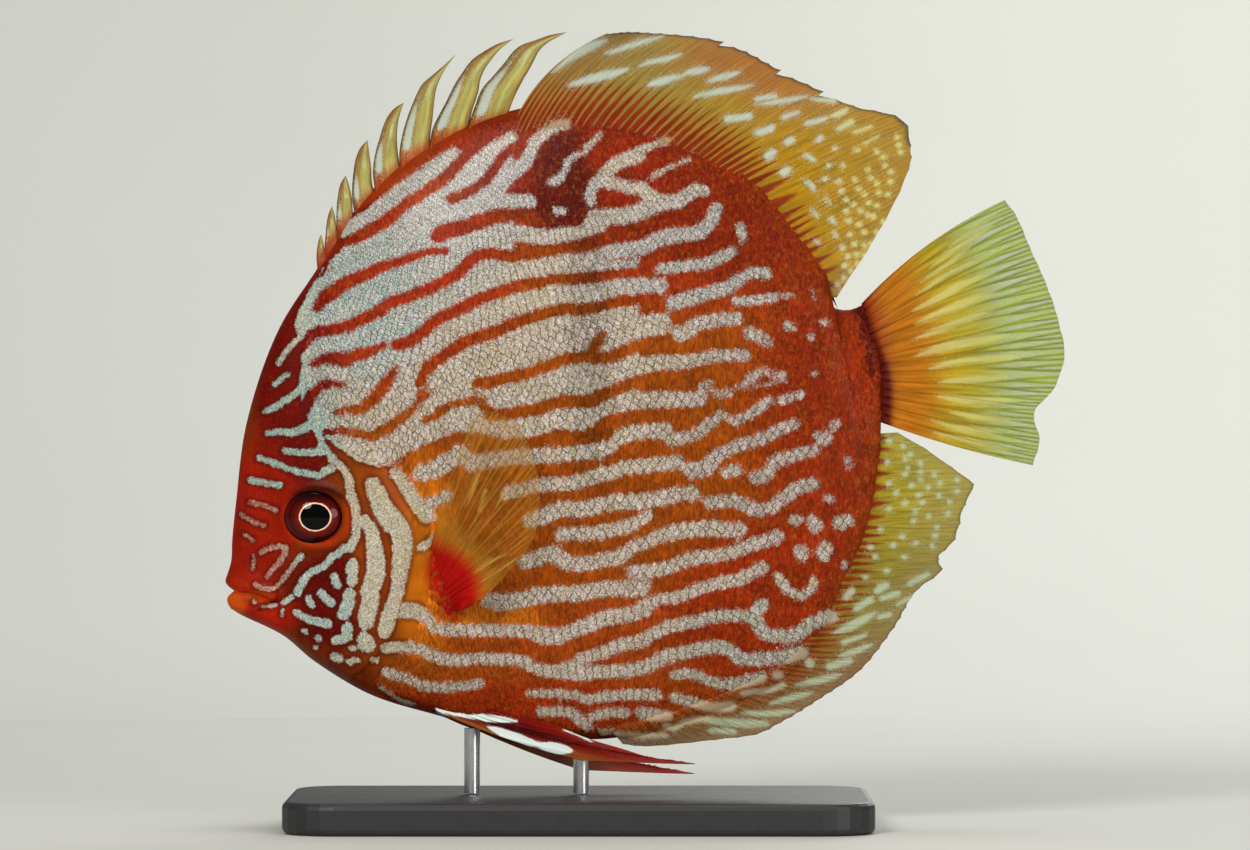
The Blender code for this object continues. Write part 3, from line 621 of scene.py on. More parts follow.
# %% Lay a grid and mirror it
COAT_DEPTH = 0.00026
COLUMN_RUNS = ((0.0, LIP_END, 32), (LIP_END, 0.25, 98), (0.25, 1.0, 106))
SKIN_ROWS = 182
SNOUT_TURN, TAIL_TURN = 0.012, 0.015
SCALE_FRONT = (
    (270, 268), (266, 330), (262, 380), (268, 430), (284, 462), (318, 496), (352, 506), (376, 528),
    (395, 556), (399, 590), (396, 640), (386, 676), (362, 706), (335, 738), (330, 790),
)


def skin_half(along, up):
    """Half thickness of the skin: rounded over back and belly, and closed at both ends."""
    place = body_place(along, up)
    half = body_half(along, up) + head_relief(along, up, place)
    edge = np.where(up > 0.5, station(along, BACK_EDGE), station(along, BELLY_EDGE)) * 1.15 / UNIT
    from_edge = np.minimum(up, 1 - up) * body_height(along)
    turn = np.sqrt(1 - (1 - np.clip(from_edge / edge, 0, 1)) ** 2)
    snout = np.sqrt(1 - (1 - np.clip(along / SNOUT_TURN, 0, 1)) ** 2)
    tail = np.sqrt(1 - np.clip((along - 0.985) / TAIL_TURN, 0, 1) ** 2)
    distance, side = from_line(place, SCALE_FRONT)
    coat = COAT_DEPTH * ease(0.5 + side * distance / 24)
    return np.maximum(half - coat - 0.00004, 0) * turn * snout * tail


def laid_grid(name, rows, columns, points):
    """A grid from the primitive, with its points laid at given places, row by row."""
    bpy.ops.mesh.primitive_grid_add(x_subdivisions=columns - 1, y_subdivisions=rows - 1, size=1)
    sheet = bpy.context.object
    sheet.name = sheet.data.name = name
    sheet.data.vertices.foreach_set("co", np.ascontiguousarray(points, dtype=np.float32).ravel())
    sheet.data.update()
    return sheet


def note(piece, name, values):
    """Writes a value or colour for each point of a piece."""
    values = np.asarray(values, dtype=np.float32)
    if values.ndim == 2:
        full = np.ones((len(values), 4), dtype=np.float32)
        full[:, :3] = values
        piece.data.attributes.new(name, "FLOAT_COLOR", "POINT").data.foreach_set("color", full.ravel())
    else:
        piece.data.attributes.new(name, "FLOAT", "POINT").data.foreach_set("value", values.ravel())


def points_of(piece):
    """A piece's points, in metres."""
    found = np.empty(len(piece.data.vertices) * 3, dtype=np.float32)
    piece.data.vertices.foreach_get("co", found)
    return found.reshape(-1, 3).astype(float)


def apply(piece, kind, **settings):
    """Adds a modifier with its settings and applies it, as in the modifier's menu."""
    bpy.ops.object.select_all(action="DESELECT")
    piece.select_set(True)
    bpy.context.view_layer.objects.active = piece
    step = piece.modifiers.new(kind.lower(), kind)
    for setting, value in settings.items():
        setattr(step, setting, value)
    bpy.ops.object.modifier_apply(modifier=step.name)


def face_outwards(piece):
    """Merges doubles, turns all faces outwards and shades them smooth."""
    bpy.ops.object.select_all(action="DESELECT")
    piece.select_set(True)
    bpy.context.view_layer.objects.active = piece
    bpy.ops.object.mode_set(mode="EDIT")
    bpy.ops.mesh.select_all(action="SELECT")
    bpy.ops.mesh.remove_doubles(threshold=0.000004)
    bpy.ops.mesh.normals_make_consistent(inside=False)
    bpy.ops.object.mode_set(mode="OBJECT")
    bpy.ops.object.shade_smooth()


def crowded(start, end, count, share=0.5):
    """Steps that crowd towards both ends."""
    even = np.linspace(0, 1, count)
    return start + (end - start) * ((1 - share) * even + share * (1 - np.cos(math.pi * even)) / 2)


columns = [np.linspace(start, end, count, endpoint=end == 1.0) for start, end, count in COLUMN_RUNS]
extra = np.linspace(0, 1, 8)[1:] ** 2
columns = np.sort(np.concatenate(columns + [1 - TAIL_TURN * extra, SNOUT_TURN * extra[:-1]]))
rows = crowded(0, 1, SKIN_ROWS, 0.7)
along, up = np.meshgrid(columns, rows, indexing="xy")
half = skin_half(along, up)
half[0], half[-1], half[:, 0], half[:, -1] = 0, 0, 0, 0
skin = laid_grid("fish_skin", SKIN_ROWS, len(columns), to_metres(body_place(along, up), -half).reshape(-1, 3))
apply(skin, "MIRROR", use_axis=(False, True, False), merge_threshold=0.000004)
face_outwards(skin)
skin_points = points_of(skin)
skin_seen = seen_place(skin_points)
note(skin, "pale", pale_at(skin_seen))
note(skin, "ground", ground_at(skin_seen))
note(skin, "sheen", sheen_at(skin_seen))
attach(skin, "root")
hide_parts("head", "upper_lip", "lower_lip", "gill_cover_left", "gill_cover_right",
            "trunk", "tail_stalk")
print("skin has", len(skin.data.polygons), "faces")

# %% [markdown]
# ## The coat of scales
#
# Scales cover everything behind the head. They lie in staggered rows that follow the back, each
# with its root under the scale in front and its round rear edge free. Along a row they are
# 1.8 mm apart at most, and half as far on the nape. One scale is a shallow lens of eighteen
# triangles. It is repeated along the rows, turned with them, and each of its points is laid on
# the flank, so that it bends with the body. No two are alike in size or lift. Each also keeps a
# tiny patch of its own on an unwrap of the skin.

# %% Rows of roots
SCALE_PITCH = 10.4
ROW_PITCH = 6.2
SCALE_LENGTH = 14.6
SCALE_HALF = 7.3
SCALE_LIFT = 0.00016
SEARCH_ROUNDS = 7
ROW_ROUNDS = 14
SCALES_A_ROW = 140
# Row level and how large its scales are: smallest on nape and back, a little smaller by the belly
SCALE_SIZES = np.array(((170, 0.5), (250, 0.66), (340, 0.9), (450, 1.0), (650, 1.0), (800, 0.74)))
RIM = np.array((
    (0.0, -0.55), (0.30, -0.95), (0.60, -1.0), (0.86, -0.66), (1.0, 0.0),
    (0.86, 0.66), (0.60, 1.0), (0.30, 0.95), (0.0, 0.55),
))
SCALE_SHAPE = np.vstack([RIM, (0.55, 0.0), (0.45, 0.0)])
draw = np.random.default_rng(7)


def lean_to(turn, shape):
    """The scale's outline in drawing units, turned for each scale."""
    way = np.stack([np.cos(turn), np.sin(turn)], axis=-1)[:, None]
    beside = np.stack([-way[..., 1], way[..., 0]], axis=-1)
    return shape[None, :, :1] * way * SCALE_LENGTH + shape[None, :, 1:] * beside * SCALE_HALF


def row_rise(across, down):
    """How far a row has fallen or risen at a place, measured from the middle of the body."""
    low = (down - 480) / 220
    lean = -0.24 + 0.12 * low
    curl = 0.03 - 0.12 * low
    return (across - 600) * (lean + curl * (across - 600) / 600)


def find_on_body(place, along, up):
    """Shares of the way and up at which the body has a drawing place, from a first guess."""
    step = 0.0005
    for _ in range(SEARCH_ROUNDS):
        here = body_place(along, up)
        miss = place - here
        by_along = (body_place(along + step, up) - here) / step
        by_up = (body_place(along, up + step) - here) / step
        area = by_along[..., 0] * by_up[..., 1] - by_along[..., 1] * by_up[..., 0]
        go_along = (miss[..., 0] * by_up[..., 1] - miss[..., 1] * by_up[..., 0]) / area
        go_up = (by_along[..., 0] * miss[..., 1] - by_along[..., 1] * miss[..., 0]) / area
        along = along + np.clip(go_along, -0.1, 0.1)
        up = up + np.clip(go_up, -0.1, 0.1)
        along, up = np.clip(along, 0.03, 0.999), np.clip(up, 0.0, 0.999)
    return along, up


def scale_roots():
    """Roots of the scales of one side, with their shares of the body and their lean."""
    levels = [-60.0]
    while levels[-1] < 1240:
        levels.append(levels[-1] + ROW_PITCH * np.interp(levels[-1], *SCALE_SIZES.T))
    row, number = np.meshgrid(np.arange(len(levels)), np.arange(0, SCALES_A_ROW), indexing="ij")
    level = np.array(levels)[row]
    size = np.interp(level, *SCALE_SIZES.T)
    across = 210 + (number + 0.5 * (row % 2)) * SCALE_PITCH * size
    down = level.astype(float)
    further = down.copy()
    for _ in range(ROW_ROUNDS):
        down = level + row_rise(across, down)
        further = level + row_rise(across + 1, further)
    ahead = (across < 920).ravel()
    place = np.stack([across, down], axis=-1).reshape(-1, 2)[ahead]
    lean = np.arctan2((further - down).ravel(), 1.0)[ahead]
    size = size.ravel()[ahead]
    coarse_shares = np.linspace(0.1, 0.99, 90), np.linspace(0.01, 0.99, 50)
    coarse_along, coarse_up = np.meshgrid(*coarse_shares, indexing="ij")
    coarse = body_place(coarse_along, coarse_up).reshape(-1, 2)
    nearest = np.array([np.argmin(((coarse - one) ** 2).sum(axis=1)) for one in place])
    close = np.hypot(*(coarse[nearest] - place).T) < 14
    place, lean, size, nearest = place[close], lean[close], size[close], nearest[close]
    along, up = find_on_body(place, coarse_along.ravel()[nearest], coarse_up.ravel()[nearest])
    on_body = np.hypot(*(body_place(along, up) - place).T) < 1.0
    distance, side = from_line(place, SCALE_FRONT)
    kept = on_body & (side * distance > 2)
    from_edge = np.minimum(up, 1 - up) * body_height(along)
    rim_place = place[:, None] + 1.05 * lean_to(lean, SCALE_SHAPE) * size[:, None, None]
    flat = 0 * rim_place[..., 0]
    rim_along, rim_up = find_on_body(rim_place, along[:, None] + flat, up[:, None] + flat)
    kept &= np.linalg.norm(body_place(rim_along, rim_up) - rim_place, axis=-1).max(axis=1) < 1.5
    settle = ease((distance - 1) / 13) * ease((from_edge - 2) / 15) * ease((0.995 - along) / 0.025)
    return place[kept], along[kept], up[kept], lean[kept], size[kept], settle[kept]


roots, root_along, root_up, root_lean, root_size, root_settle = scale_roots()
print(len(roots), "scales on each side")

# %% One scale, repeated along the rows
TOP, UNDER = 9, 10
SCALE_FACES = np.array([(i, (i + 1) % 9, TOP) for i in range(9)]
                       + [((i + 1) % 9, i, UNDER) for i in range(9)])
PATCH = 0.003


def surface(along, up, side):
    """Point and outward direction of the skin on one side."""
    step = 0.002
    here = to_metres(body_place(along, up), side * skin_half(along, up))
    ahead = to_metres(body_place(along + step, up), side * skin_half(along + step, up))
    above = to_metres(body_place(along, up + step), side * skin_half(along, up + step))
    outward = np.cross(ahead - here, above - here)
    outward /= np.linalg.norm(outward, axis=-1, keepdims=True) + 1e-12
    return here, outward * np.where(outward[..., 1:2] * side < 0, -1, 1)


def coat(name, side):
    """All scales of one side as one mesh."""
    count = len(roots)
    size = root_size[:, None] * (1 + 0.07 * draw.standard_normal((count, 1)))
    turn = root_lean + 0.06 * draw.standard_normal(count)
    lift = SCALE_LIFT * root_settle * (0.3 + 0.7 * root_size) * (1 + 0.15 * draw.standard_normal(count))
    place = roots[:, None] + lean_to(turn, SCALE_SHAPE) * size[:, None]
    guess = [np.broadcast_to(share[:, None], place.shape[:-1]) for share in (root_along, root_up)]
    along, up = find_on_body(place, *guess)
    here, outward = surface(along, up, side)
    rise = lift[:, None] * (-0.35 + 1.25 * SCALE_SHAPE[:, 0] - 0.12 * SCALE_SHAPE[:, 1] ** 2)[None]
    rise[:, TOP] += 0.00002 * root_settle
    rise[:, UNDER] = -0.00025
    rise -= 0.00006 * (1 - root_settle[:, None])
    points = (here + outward * rise[..., None]).reshape(-1, 3)
    faces = (SCALE_FACES[None] + np.arange(count)[:, None, None] * len(SCALE_SHAPE)).reshape(-1, 3)
    if side > 0:
        faces = faces[:, ::-1]
    mesh = bpy.data.meshes.new(name)
    mesh.from_pydata(points.tolist(), [], faces.tolist())
    piece = bpy.data.objects.new(name, mesh)
    bpy.context.collection.objects.link(piece)
    mesh.shade_smooth()
    ends = np.empty(len(mesh.edges) * 2, dtype=np.int32)
    mesh.edges.foreach_get("vertices", ends)
    on_rim = (ends.reshape(-1, 2) % len(SCALE_SHAPE) < TOP).all(axis=1)
    mesh.attributes.new("sharp_edge", "BOOLEAN", "EDGE").data.foreach_set("value", on_rim)
    seen = seen_place(points)
    root_seen = np.repeat(seen.reshape(count, -1, 2)[:, TOP], len(SCALE_SHAPE), axis=0)
    note(piece, "pale", 0.75 * pale_at(seen) + 0.25 * pale_at(root_seen))
    note(piece, "ground", ground_at(root_seen))
    note(piece, "sheen", sheen_at(root_seen))
    note(piece, "flake", np.repeat(draw.random(count), len(SCALE_SHAPE)))
    # The rim value tells the finish where to paint shade along each scale's edge, less where it lies flat.
    rim = np.ones((count, len(SCALE_SHAPE)))
    rim[:, TOP] = 0
    note(piece, "rim", (rim * ease(root_settle * 1.6)[:, None]).ravel())
    unwrap(piece, mesh, faces, count, side)
    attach(piece, "root")
    return piece


def unwrap(piece, mesh, faces, count, side):
    """Gives each scale a tiny patch at its root's place on the unwrapped skin."""
    root = np.column_stack([0.02 + 0.46 * root_along + (0.5 if side > 0 else 0.0), 0.02 + 0.96 * root_up])
    local = (SCALE_SHAPE - (0.5, 0.0)) * (PATCH, PATCH / 2)
    patch = (root[:, None] + local[None]).reshape(-1, 2)
    layer = mesh.uv_layers.new(name="OFBake")
    layer.data.foreach_set("uv", patch[faces.ravel()].astype(np.float32).ravel())


coats = [coat("fish_scales_left", -1), coat("fish_scales_right", 1)]
print("each coat has", len(coats[0].data.polygons), "triangles")

# %% [markdown]
# ## The eyes
#
# The eye is a ball that stands a little out of its socket, with a wet, clear front. A sphere is
# added with its poles to left and right and stretched to the eye's three sizes. Every point keeps
# how far it lies from the middle of the front, so that pupil, ring and iris can be drawn crisply.

# %% Eye balls
EYE_HALVES = (EYE_HALF_LENGTH, EYE_HALF_DEPTH, EYE_HALF_HEIGHT)


def eye_centre(side):
    """Middle of the eye's ball, sunk in its socket."""
    along, up = find_on_body(np.array([EYE]), np.array([0.17]), np.array([0.42]))
    return to_metres(np.array(EYE), side * (body_half(along, up)[0] - EYE_SUNK))


for side, label in ((-1, "left"), (1, "right")):
    bpy.ops.object.select_all(action="DESELECT")
    bpy.ops.mesh.primitive_uv_sphere_add(segments=96, ring_count=64, radius=1)
    ball = bpy.context.object
    ball.name = ball.data.name = "eye_ball_" + label
    bpy.ops.object.mode_set(mode="EDIT")
    bpy.ops.mesh.select_all(action="SELECT")
    bpy.ops.transform.rotate(value=math.radians(90), orient_axis="X", center_override=(0, 0, 0))
    bpy.ops.transform.resize(value=EYE_HALVES, center_override=(0, 0, 0))
    bpy.ops.transform.translate(value=eye_centre(side))
    bpy.ops.object.mode_set(mode="OBJECT")
    bpy.ops.object.shade_smooth()
    apart = points_of(ball) - eye_centre(side)
    away = np.hypot(apart[:, 0] / EYE_HALF_LENGTH, apart[:, 2] / EYE_HALF_HEIGHT)
    note(ball, "away", np.where(apart[:, 1] * side > 0, away, 2 - away))
    note(ball, "high", apart[:, 2] / EYE_HALF_HEIGHT)
    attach(ball, "root")
    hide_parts("eye_" + label)
    front = round(float(abs(points_of(ball)[:, 1]).max()), 4)
    print("eye", label, "centre", np.round(eye_centre(side), 4), "front", front)

# %% [markdown]
# ## Fins
#
# A fin is a skin stretched over rays that fan out from the body. Each ray follows a curve from
# its root to its tip, splits in two and then in four, and stands out as a fine ridge, with a thin
# web between. A grid is laid along the rays and the Solidify modifier gives it its thickness, point
# by point, from a vertex group. The foot of a fin starts inside the body, comes up between the
# scales and follows the body's roundness to its edge, so that no seam shows.

# %% Rays between the named ones
WEB_HALF = 0.00012
FULL_THICKNESS = 0.008
RIDGE_FOOT, RIDGE_LOSS = 0.00030, 0.00018
WAVE = 0.0006


def ray_table(keys, rays):
    """Root share, tip and bend of every ray, along smooth curves through the named ones."""
    table = np.array(keys, dtype=float)
    slopes = np.gradient(table[:, 1:], table[:, 0], axis=0)
    index = np.clip(np.searchsorted(table[:, 0], rays, side="right") - 1, 0, len(table) - 2)
    width = (table[index + 1, 0] - table[index, 0])[:, None]
    t = ((rays - table[index, 0]) / width[:, 0])[:, None]
    start, end = table[index, 1:], table[index + 1, 1:]
    lead, trail = slopes[index] * width, slopes[index + 1] * width
    return ((2 * t**3 - 3 * t**2 + 1) * start + (t**3 - 2 * t**2 + t) * lead
            + (3 * t**2 - 2 * t**3) * end + (t**3 - t**2) * trail)


def ray_curve(root, tip, curve, out):
    """Places along a ray that bows to one side."""
    across = (tip - root)[..., ::-1] * (1, -1)
    bend = (root + tip) / 2 + across * curve[..., None]
    return root * (1 - out) ** 2 + 2 * bend * out * (1 - out) + tip * out**2


def fan(keys, between, steps, crowding):
    """Named values of finely spaced rays, with the ray number and the way out on a grid."""
    rays = np.arange(keys[0][0], keys[-1][0] + 0.01, 1 / between)
    ray_grid, out_grid = np.meshgrid(rays, crowded(0, 1, steps, crowding), indexing="ij")
    return ray_table(keys, rays), ray_grid, out_grid


def laid_on_rays(root, table, out):
    """Places along the rays of a table, from their roots."""
    return ray_curve(root[:, None], table[:, None, 1:3], table[:, 3][:, None] + 0 * out, out[..., None])


def reach_along(root, table, out):
    """Units out from the root at each step along the rays of a table."""
    return np.linalg.norm(table[:, 1:3] - root, axis=-1)[:, None] * out


def scalloped(ray, depth):
    """Share of its length that a ray keeps, so that the margin dips at the rays."""
    return 1 - depth * (1 - np.abs(2 * (ray % 1) - 1)) ** 0.5


def branches(ray, out):
    """How strongly a ray or one of its branches runs here, from 0 to 1."""
    frac = np.abs(ray - np.round(ray))
    first = np.abs(frac - 0.24 * ease((out - 0.35) / 0.5))
    second = np.abs(first - 0.12 * ease((out - 0.68) / 0.3))
    return bell(second, 0, 0.085 - 0.03 * ease(out / 0.8))


def edge_root(line, sink):
    """Roots of a fin along an outline of the body, sunk into it."""
    def root(share):
        place = on_line(line, share)
        ahead = on_line(line, share + 0.004) - on_line(line, share - 0.004)
        outward = np.stack([ahead[..., 1], -ahead[..., 0]], axis=-1)
        return place - outward / np.linalg.norm(outward, axis=-1, keepdims=True) * sink
    return root


def thicken(sheet, half):
    """Turns a sheet into a closed fin, half a thickness to each side at each point."""
    group = sheet.vertex_groups.new(name="thickness")
    for index, value in enumerate(np.clip(2 * half.ravel() / FULL_THICKNESS, 0, 1)):
        group.add([index], float(value), "REPLACE")
    apply(sheet, "SOLIDIFY", thickness=FULL_THICKNESS, offset=0.0, vertex_group="thickness", use_rim=True)
    sheet.vertex_groups.clear()
    face_outwards(sheet)


def fin_foot(edge, is_back, shares, place, reach, shown):
    """Units out from the body's edge, and half thickness of a fin's foot, at each place.

    The foot comes up between the scales, follows the body to its edge and thins out beyond it.
    """
    distance, side = from_line(place, edge)
    outside = distance * side * (1 if is_back else -1)
    column = UPPER_SHARE if is_back else LOWER_SHARE
    along = np.interp(shares, STATIONS[:, column], STATIONS[:, WAY])[:, None] + 0 * reach
    inside = np.clip(-outside, 0, 60) / body_height(along)
    body = body_half(along, 1 - inside if is_back else inside)
    rise = 0.0007 * ease(reach / 11) * shown - 0.0006
    return outside, np.maximum(body + rise, 0.0001) * np.exp(-(np.clip(outside, 0, None) / 18) ** 2)


def comb_start(ray, first, length):
    """Units out at which the fin's own colour begins: early on each fine line, late between two."""
    between = 1 - np.abs(2 * ((ray * 1.5) % 1) - 1)
    return first + length * np.clip((between - 0.24) / 0.76, 0, 1) ** 0.55


def comb_share(outside, start):
    """How much of the fin's own colour shows in the comb at its foot."""
    return ease((outside - start) / 12 + 0.3) * (0.62 + 0.38 * ease((outside + 20) / 44))


def finish_fin(sheet, node):
    """Puts a fin in the place of its solid."""
    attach(sheet, "root")
    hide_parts(node)
    print(sheet.name, "has", len(sheet.data.polygons), "faces")


def fin_sheet(name, place, depth, half, **notes):
    """A closed fin from a grid of drawing places, with its values noted at each point."""
    rows, columns = place.shape[:2]
    sheet = laid_grid(name, rows, columns, to_metres(place, depth).reshape(-1, 3))
    for label, values in notes.items():
        note(sheet, label, values.reshape(rows * columns, -1) if values.ndim == 3 else values.ravel())
    thicken(sheet, half)
    return sheet


def mix(first, second, share):
    """Two colours mixed by a share at each place."""
    return first + (second - first) * share[..., None]


def plain(color, place):
    """One colour at every place."""
    return np.broadcast_to(color, place.shape[:-1] + (3,))


# %% [markdown]
# ### The fin of the back
#
# Eight spines stand free in front, each with its own curved blade of web behind it, and soft rays
# follow in one sail. The sail's foot is a comb of rust coloured teeth between fine lines of gold,
# and pale streaks and rows of dots lie over its gold.

# %% Spines and rays of the back
# Ray number, share of the outline at its root, tip across and down, and bend
SAIL_KEYS = (
    (8, 0.547, 606, 27, 0.23), (13, 0.596, 651, 25.5, 0.16),
    (18, 0.665, 734, 36, 0.10), (23, 0.731, 797, 67, 0.06),
    (28, 0.786, 878, 106, 0.05), (31, 0.825, 937, 129, 0.03), (32, 0.852, 940, 150, 0.02),
    (34, 0.878, 938, 176, 0.0), (36, 0.905, 912, 232, 0.0), (37, 0.926, 888, 272, 0.0),
    (38, 0.950, 857, 317, 0.0),
)
FIN_SINK = 32.0
LOW_SINK = 20.0
SAIL_NOTCHES = (18.05, 23.05, 26.1)
NOTCH_DEPTH = 0.05
# Ray numbers, and how long the teeth of the comb are there
SAIL_COMB = ((8, 14, 20, 30, 38), (64, 62, 58, 56, 40))
LOW_COMB = ((0, 10, 24, 36), (24, 32, 44, 28))
# Front and rear edge of each blade, from the back to the tip
BLADE_FRONTS = (
    ((288, 292), (286, 272), (287.5, 258), (289, 252), (291, 248)),
    ((297, 277), (295, 262), (296, 248), (297, 236), (299, 226), (303, 216.5)),
    ((311, 258), (308, 240), (308, 220), (309.5, 205), (312, 193), (318, 183)),
    ((331, 238), (326, 215), (325, 197), (326.5, 180), (329, 165), (334, 153), (342, 144)),
    ((352, 210), (348, 178), (351, 157), (355, 143), (360, 127), (365, 117), (372, 109), (382, 103)),
    ((380, 184), (377, 162), (380, 140), (385, 122), (392, 103), (402, 83), (412, 74), (425, 63), (439, 50)),
    ((410, 160), (413, 134), (418, 122), (428, 103), (438, 83), (447, 69), (457, 56), (468, 48), (484,
     39), (502, 33)),
    ((448, 144), (459, 110), (468, 88), (480, 74), (492, 60), (503, 46), (511, 40), (525, 35), (542,
     29), (561, 25.5)),
)
BLADE_REARS = (
    ((298, 279), (295, 266), (293, 256), (291, 248)),
    ((312, 260), (308, 242), (306, 228), (303, 216.5)),
    ((332, 240), (326, 226), (325, 210), (322, 195), (318, 183)),
    ((353, 212), (347, 192), (346, 175), (344, 160), (342, 144)),
    ((381, 186), (376, 163), (374.5, 148), (374.5, 135), (376, 122), (379, 111), (382, 103)),
    ((412, 162), (411, 140), (413.5, 120), (415, 105), (417, 90), (421, 78), (428, 65), (439, 50)),
    ((450, 146), (457, 112), (461, 100), (464, 90), (466, 78), (471, 66), (478, 56), (487, 45), (502, 33)),
    ((492, 128), (503, 98), (513, 78), (519, 68), (525, 57), (530, 47), (539, 38), (549, 32), (561, 25.5)),
)
BACK_STREAKS = (
    (2, 5, 545, 70, 560, 58, 575, 48, 590, 40, 605, 34),
    (3, 2, 603, 49, 615, 46, 635, 39, 655, 33, 668, 30), (2, 3, 640, 63, 655, 58, 670, 55, 687, 50),
    (3, 4, 690, 71, 705, 68, 718, 66), (3, 3, 715, 80, 735, 74, 752, 70),
    (3, 3, 700, 97, 725, 91, 745, 88, 766, 84), (4, 4, 562, 85, 580, 79, 600, 74, 630, 66),
    (4, 3, 650, 84, 668, 79, 690, 73), (4, 4, 738, 121, 762, 118), (3, 3, 770, 99, 790, 96),
    (2, 3, 768, 105, 800, 101, 826, 96), (2, 3, 830, 99, 855, 101), (3, 2, 800, 119, 816, 114),
    (3, 3, 825, 126, 845, 121), (3, 3, 852, 119, 862, 115, 871, 110), (3, 4, 860, 132, 874, 125),
    (2, 2, 876, 136, 896, 129), (1.8, 1.8, 888, 149, 904, 140), (4, 4, 772, 136, 786, 131),
    (4, 4, 804, 146, 808, 144), (5, 4, 783, 162, 788, 158), (5, 4, 800, 180, 804, 177),
    (3, 3, 838, 144, 841, 141), (2, 3, 823, 160, 832, 166), (3, 2, 822, 187, 830, 194, 836, 201),
    (2, 2, 845, 208, 850, 214), (2, 2, 831, 221, 836, 228), (3, 2, 852, 231, 856, 236),
    (2, 2, 834, 255, 838, 258), (2, 2, 855, 246, 858, 251),
)
BACK_DOT, LOW_DOT = 3.2, 3.0
BACK_DOTS = (
    856, 153, 902, 157, 909, 163, 849, 172, 864, 172, 892, 177, 911, 172, 917, 179, 845, 187, 860, 190,
    878, 188, 895, 186, 917, 190, 902, 192, 882, 198, 863, 200, 888, 204, 904, 202, 914, 204, 868, 210,
    893, 213, 876, 215, 902, 216, 871, 233, 882, 237, 872, 248, 888, 245, 877, 258, 888, 260, 880, 270,
    924, 141, 926, 150, 928, 158, 879, 155, 884, 222, 892, 226, 868, 222, 898, 228, 864, 262, 870, 272,
    858, 303, 865, 295, 873, 288, 881, 280, 888, 271, 895, 258, 902, 246, 909, 234, 866, 282,
)


def dots(numbers, radius):
    """Round marks as strokes of no length."""
    return tuple((radius, radius, x, y, x + 0.5, y) for x, y in zip(numbers[::2], numbers[1::2]))


GOLD, OLIVE, RUST, SHADOW = paint(170, 128, 12), paint(146, 122, 50), paint(134, 54, 12), paint(54, 40, 10)
BLUE, LEMON = paint(190, 208, 196), paint(214, 214, 140)
back_root = edge_root(UPPER, FIN_SINK)


def fin_marks(place, strokes):
    """How many units inside the nearest mark of a fin each place lies."""
    return np.clip(inside_strokes(place, strokes, pointed=True), -8, 8)


# %% The blades behind the spines
WEB_BROWN = paint(150, 112, 44)
WEB_GOLD = paint(176, 172, 96)
WEB_TIP = paint(150, 84, 24)
WEB_FOOT = paint(158, 78, 20)
STRAW = paint(206, 206, 150)
blades = []
for number, (front, rear) in enumerate(zip(BLADE_FRONTS, BLADE_REARS)):
    out, side_steps = np.linspace(0, 1, 60), np.linspace(0, 1, 17)
    front_edge, rear_edge = smooth_line(front, 60), smooth_line(rear, 60)
    place = front_edge[:, None] + (rear_edge - front_edge)[:, None] * side_steps[None, :, None]
    out_grid, side_grid = np.meshgrid(out, side_steps, indexing="ij")
    length = np.linalg.norm(np.diff(front_edge, axis=0), axis=1).sum()
    flare = 0.0014 * np.exp(-(out_grid * length / 24.0) ** 2)
    half = WEB_HALF + 0.00038 * bell(side_grid, 0.05, 0.09) * (1 - 0.8 * out_grid) + flare
    web = mix(plain(WEB_BROWN, place), WEB_GOLD, bell(side_grid, 0.66, 0.24))
    web = mix(web, WEB_TIP, ease((out_grid - 0.62) / 0.25) * ease((0.55 - side_grid) / 0.4))
    dark = np.maximum(bell(side_grid, 0, 0.07), 0.7 * bell(side_grid, 1, 0.05))
    color = mix(mix(web, WEB_FOOT, ease((36 - out_grid * length) / 22)), SHADOW, dark)
    near_body = ease((24 - 6 * side_grid - out_grid * length) / 20)
    color = mix(color, ground_at(place), near_body)
    sheen = mix(plain(BLUE, place), STRAW, ease(side_grid * 4 - 1.4))
    first = bell(side_grid, 0.27 - 0.13 * out_grid, 0.24 - 0.13 * out_grid)
    first = first * ease((out_grid * length - 10) / 24)
    second = 0.78 * bell(side_grid, 0.62, 0.2) * ease((out_grid - 0.35) / 0.3) * ease((0.94 - out_grid) / 0.3)
    streak = 12 * np.maximum(first * ease((0.84 - out_grid) / 0.5), second) - 8
    blade = fin_sheet("dorsal_blade_" + str(number), place, np.zeros(place.shape[:-1]), half, ground=color,
                      sheen=sheen, pale=streak, clear=0.2 * ease(out_grid * 1.5), ray=number + side_grid,
                      out=out_grid)
    blades.append(blade)

# %% The soft sail of the back
SAIL_MARGIN = paint(168, 96, 18)
SAIL_FRONT = paint(164, 84, 22)
table, ray_grid, out_grid = fan(SAIL_KEYS, 14, 44, 0.3)
root = back_root(table[:, 0])
scallop = scalloped(ray_grid, 0.012)
for notch in SAIL_NOTCHES:
    scallop -= NOTCH_DEPTH * (ray_grid > notch) * np.exp(-np.clip(ray_grid - notch, 0, None) / 0.8)
place = laid_on_rays(root, table, out_grid * scallop)
reach = reach_along(root, table, out_grid)
strong = branches(ray_grid, out_grid)
shown = ease((ray_grid - 8) / 1.2) * ease((38 - ray_grid) / 1.2)
outside, foot = fin_foot(UPPER_LINE, True, table[:, 0], place, reach, shown)
half = WEB_HALF + (RIDGE_FOOT - RIDGE_LOSS * out_grid) * strong * ease((outside + 2) / 14) + foot
comb = comb_start(ray_grid, -30, np.interp(ray_grid, *SAIL_COMB))
gold = mix(plain(OLIVE, place), GOLD, ease((ray_grid - 14) / 14 + out_grid - 0.6))
upper = 0.75 * ease((out_grid - 0.5) / 0.4) * ease((ray_grid - 14) / 5) * ease((29 - ray_grid) / 6)
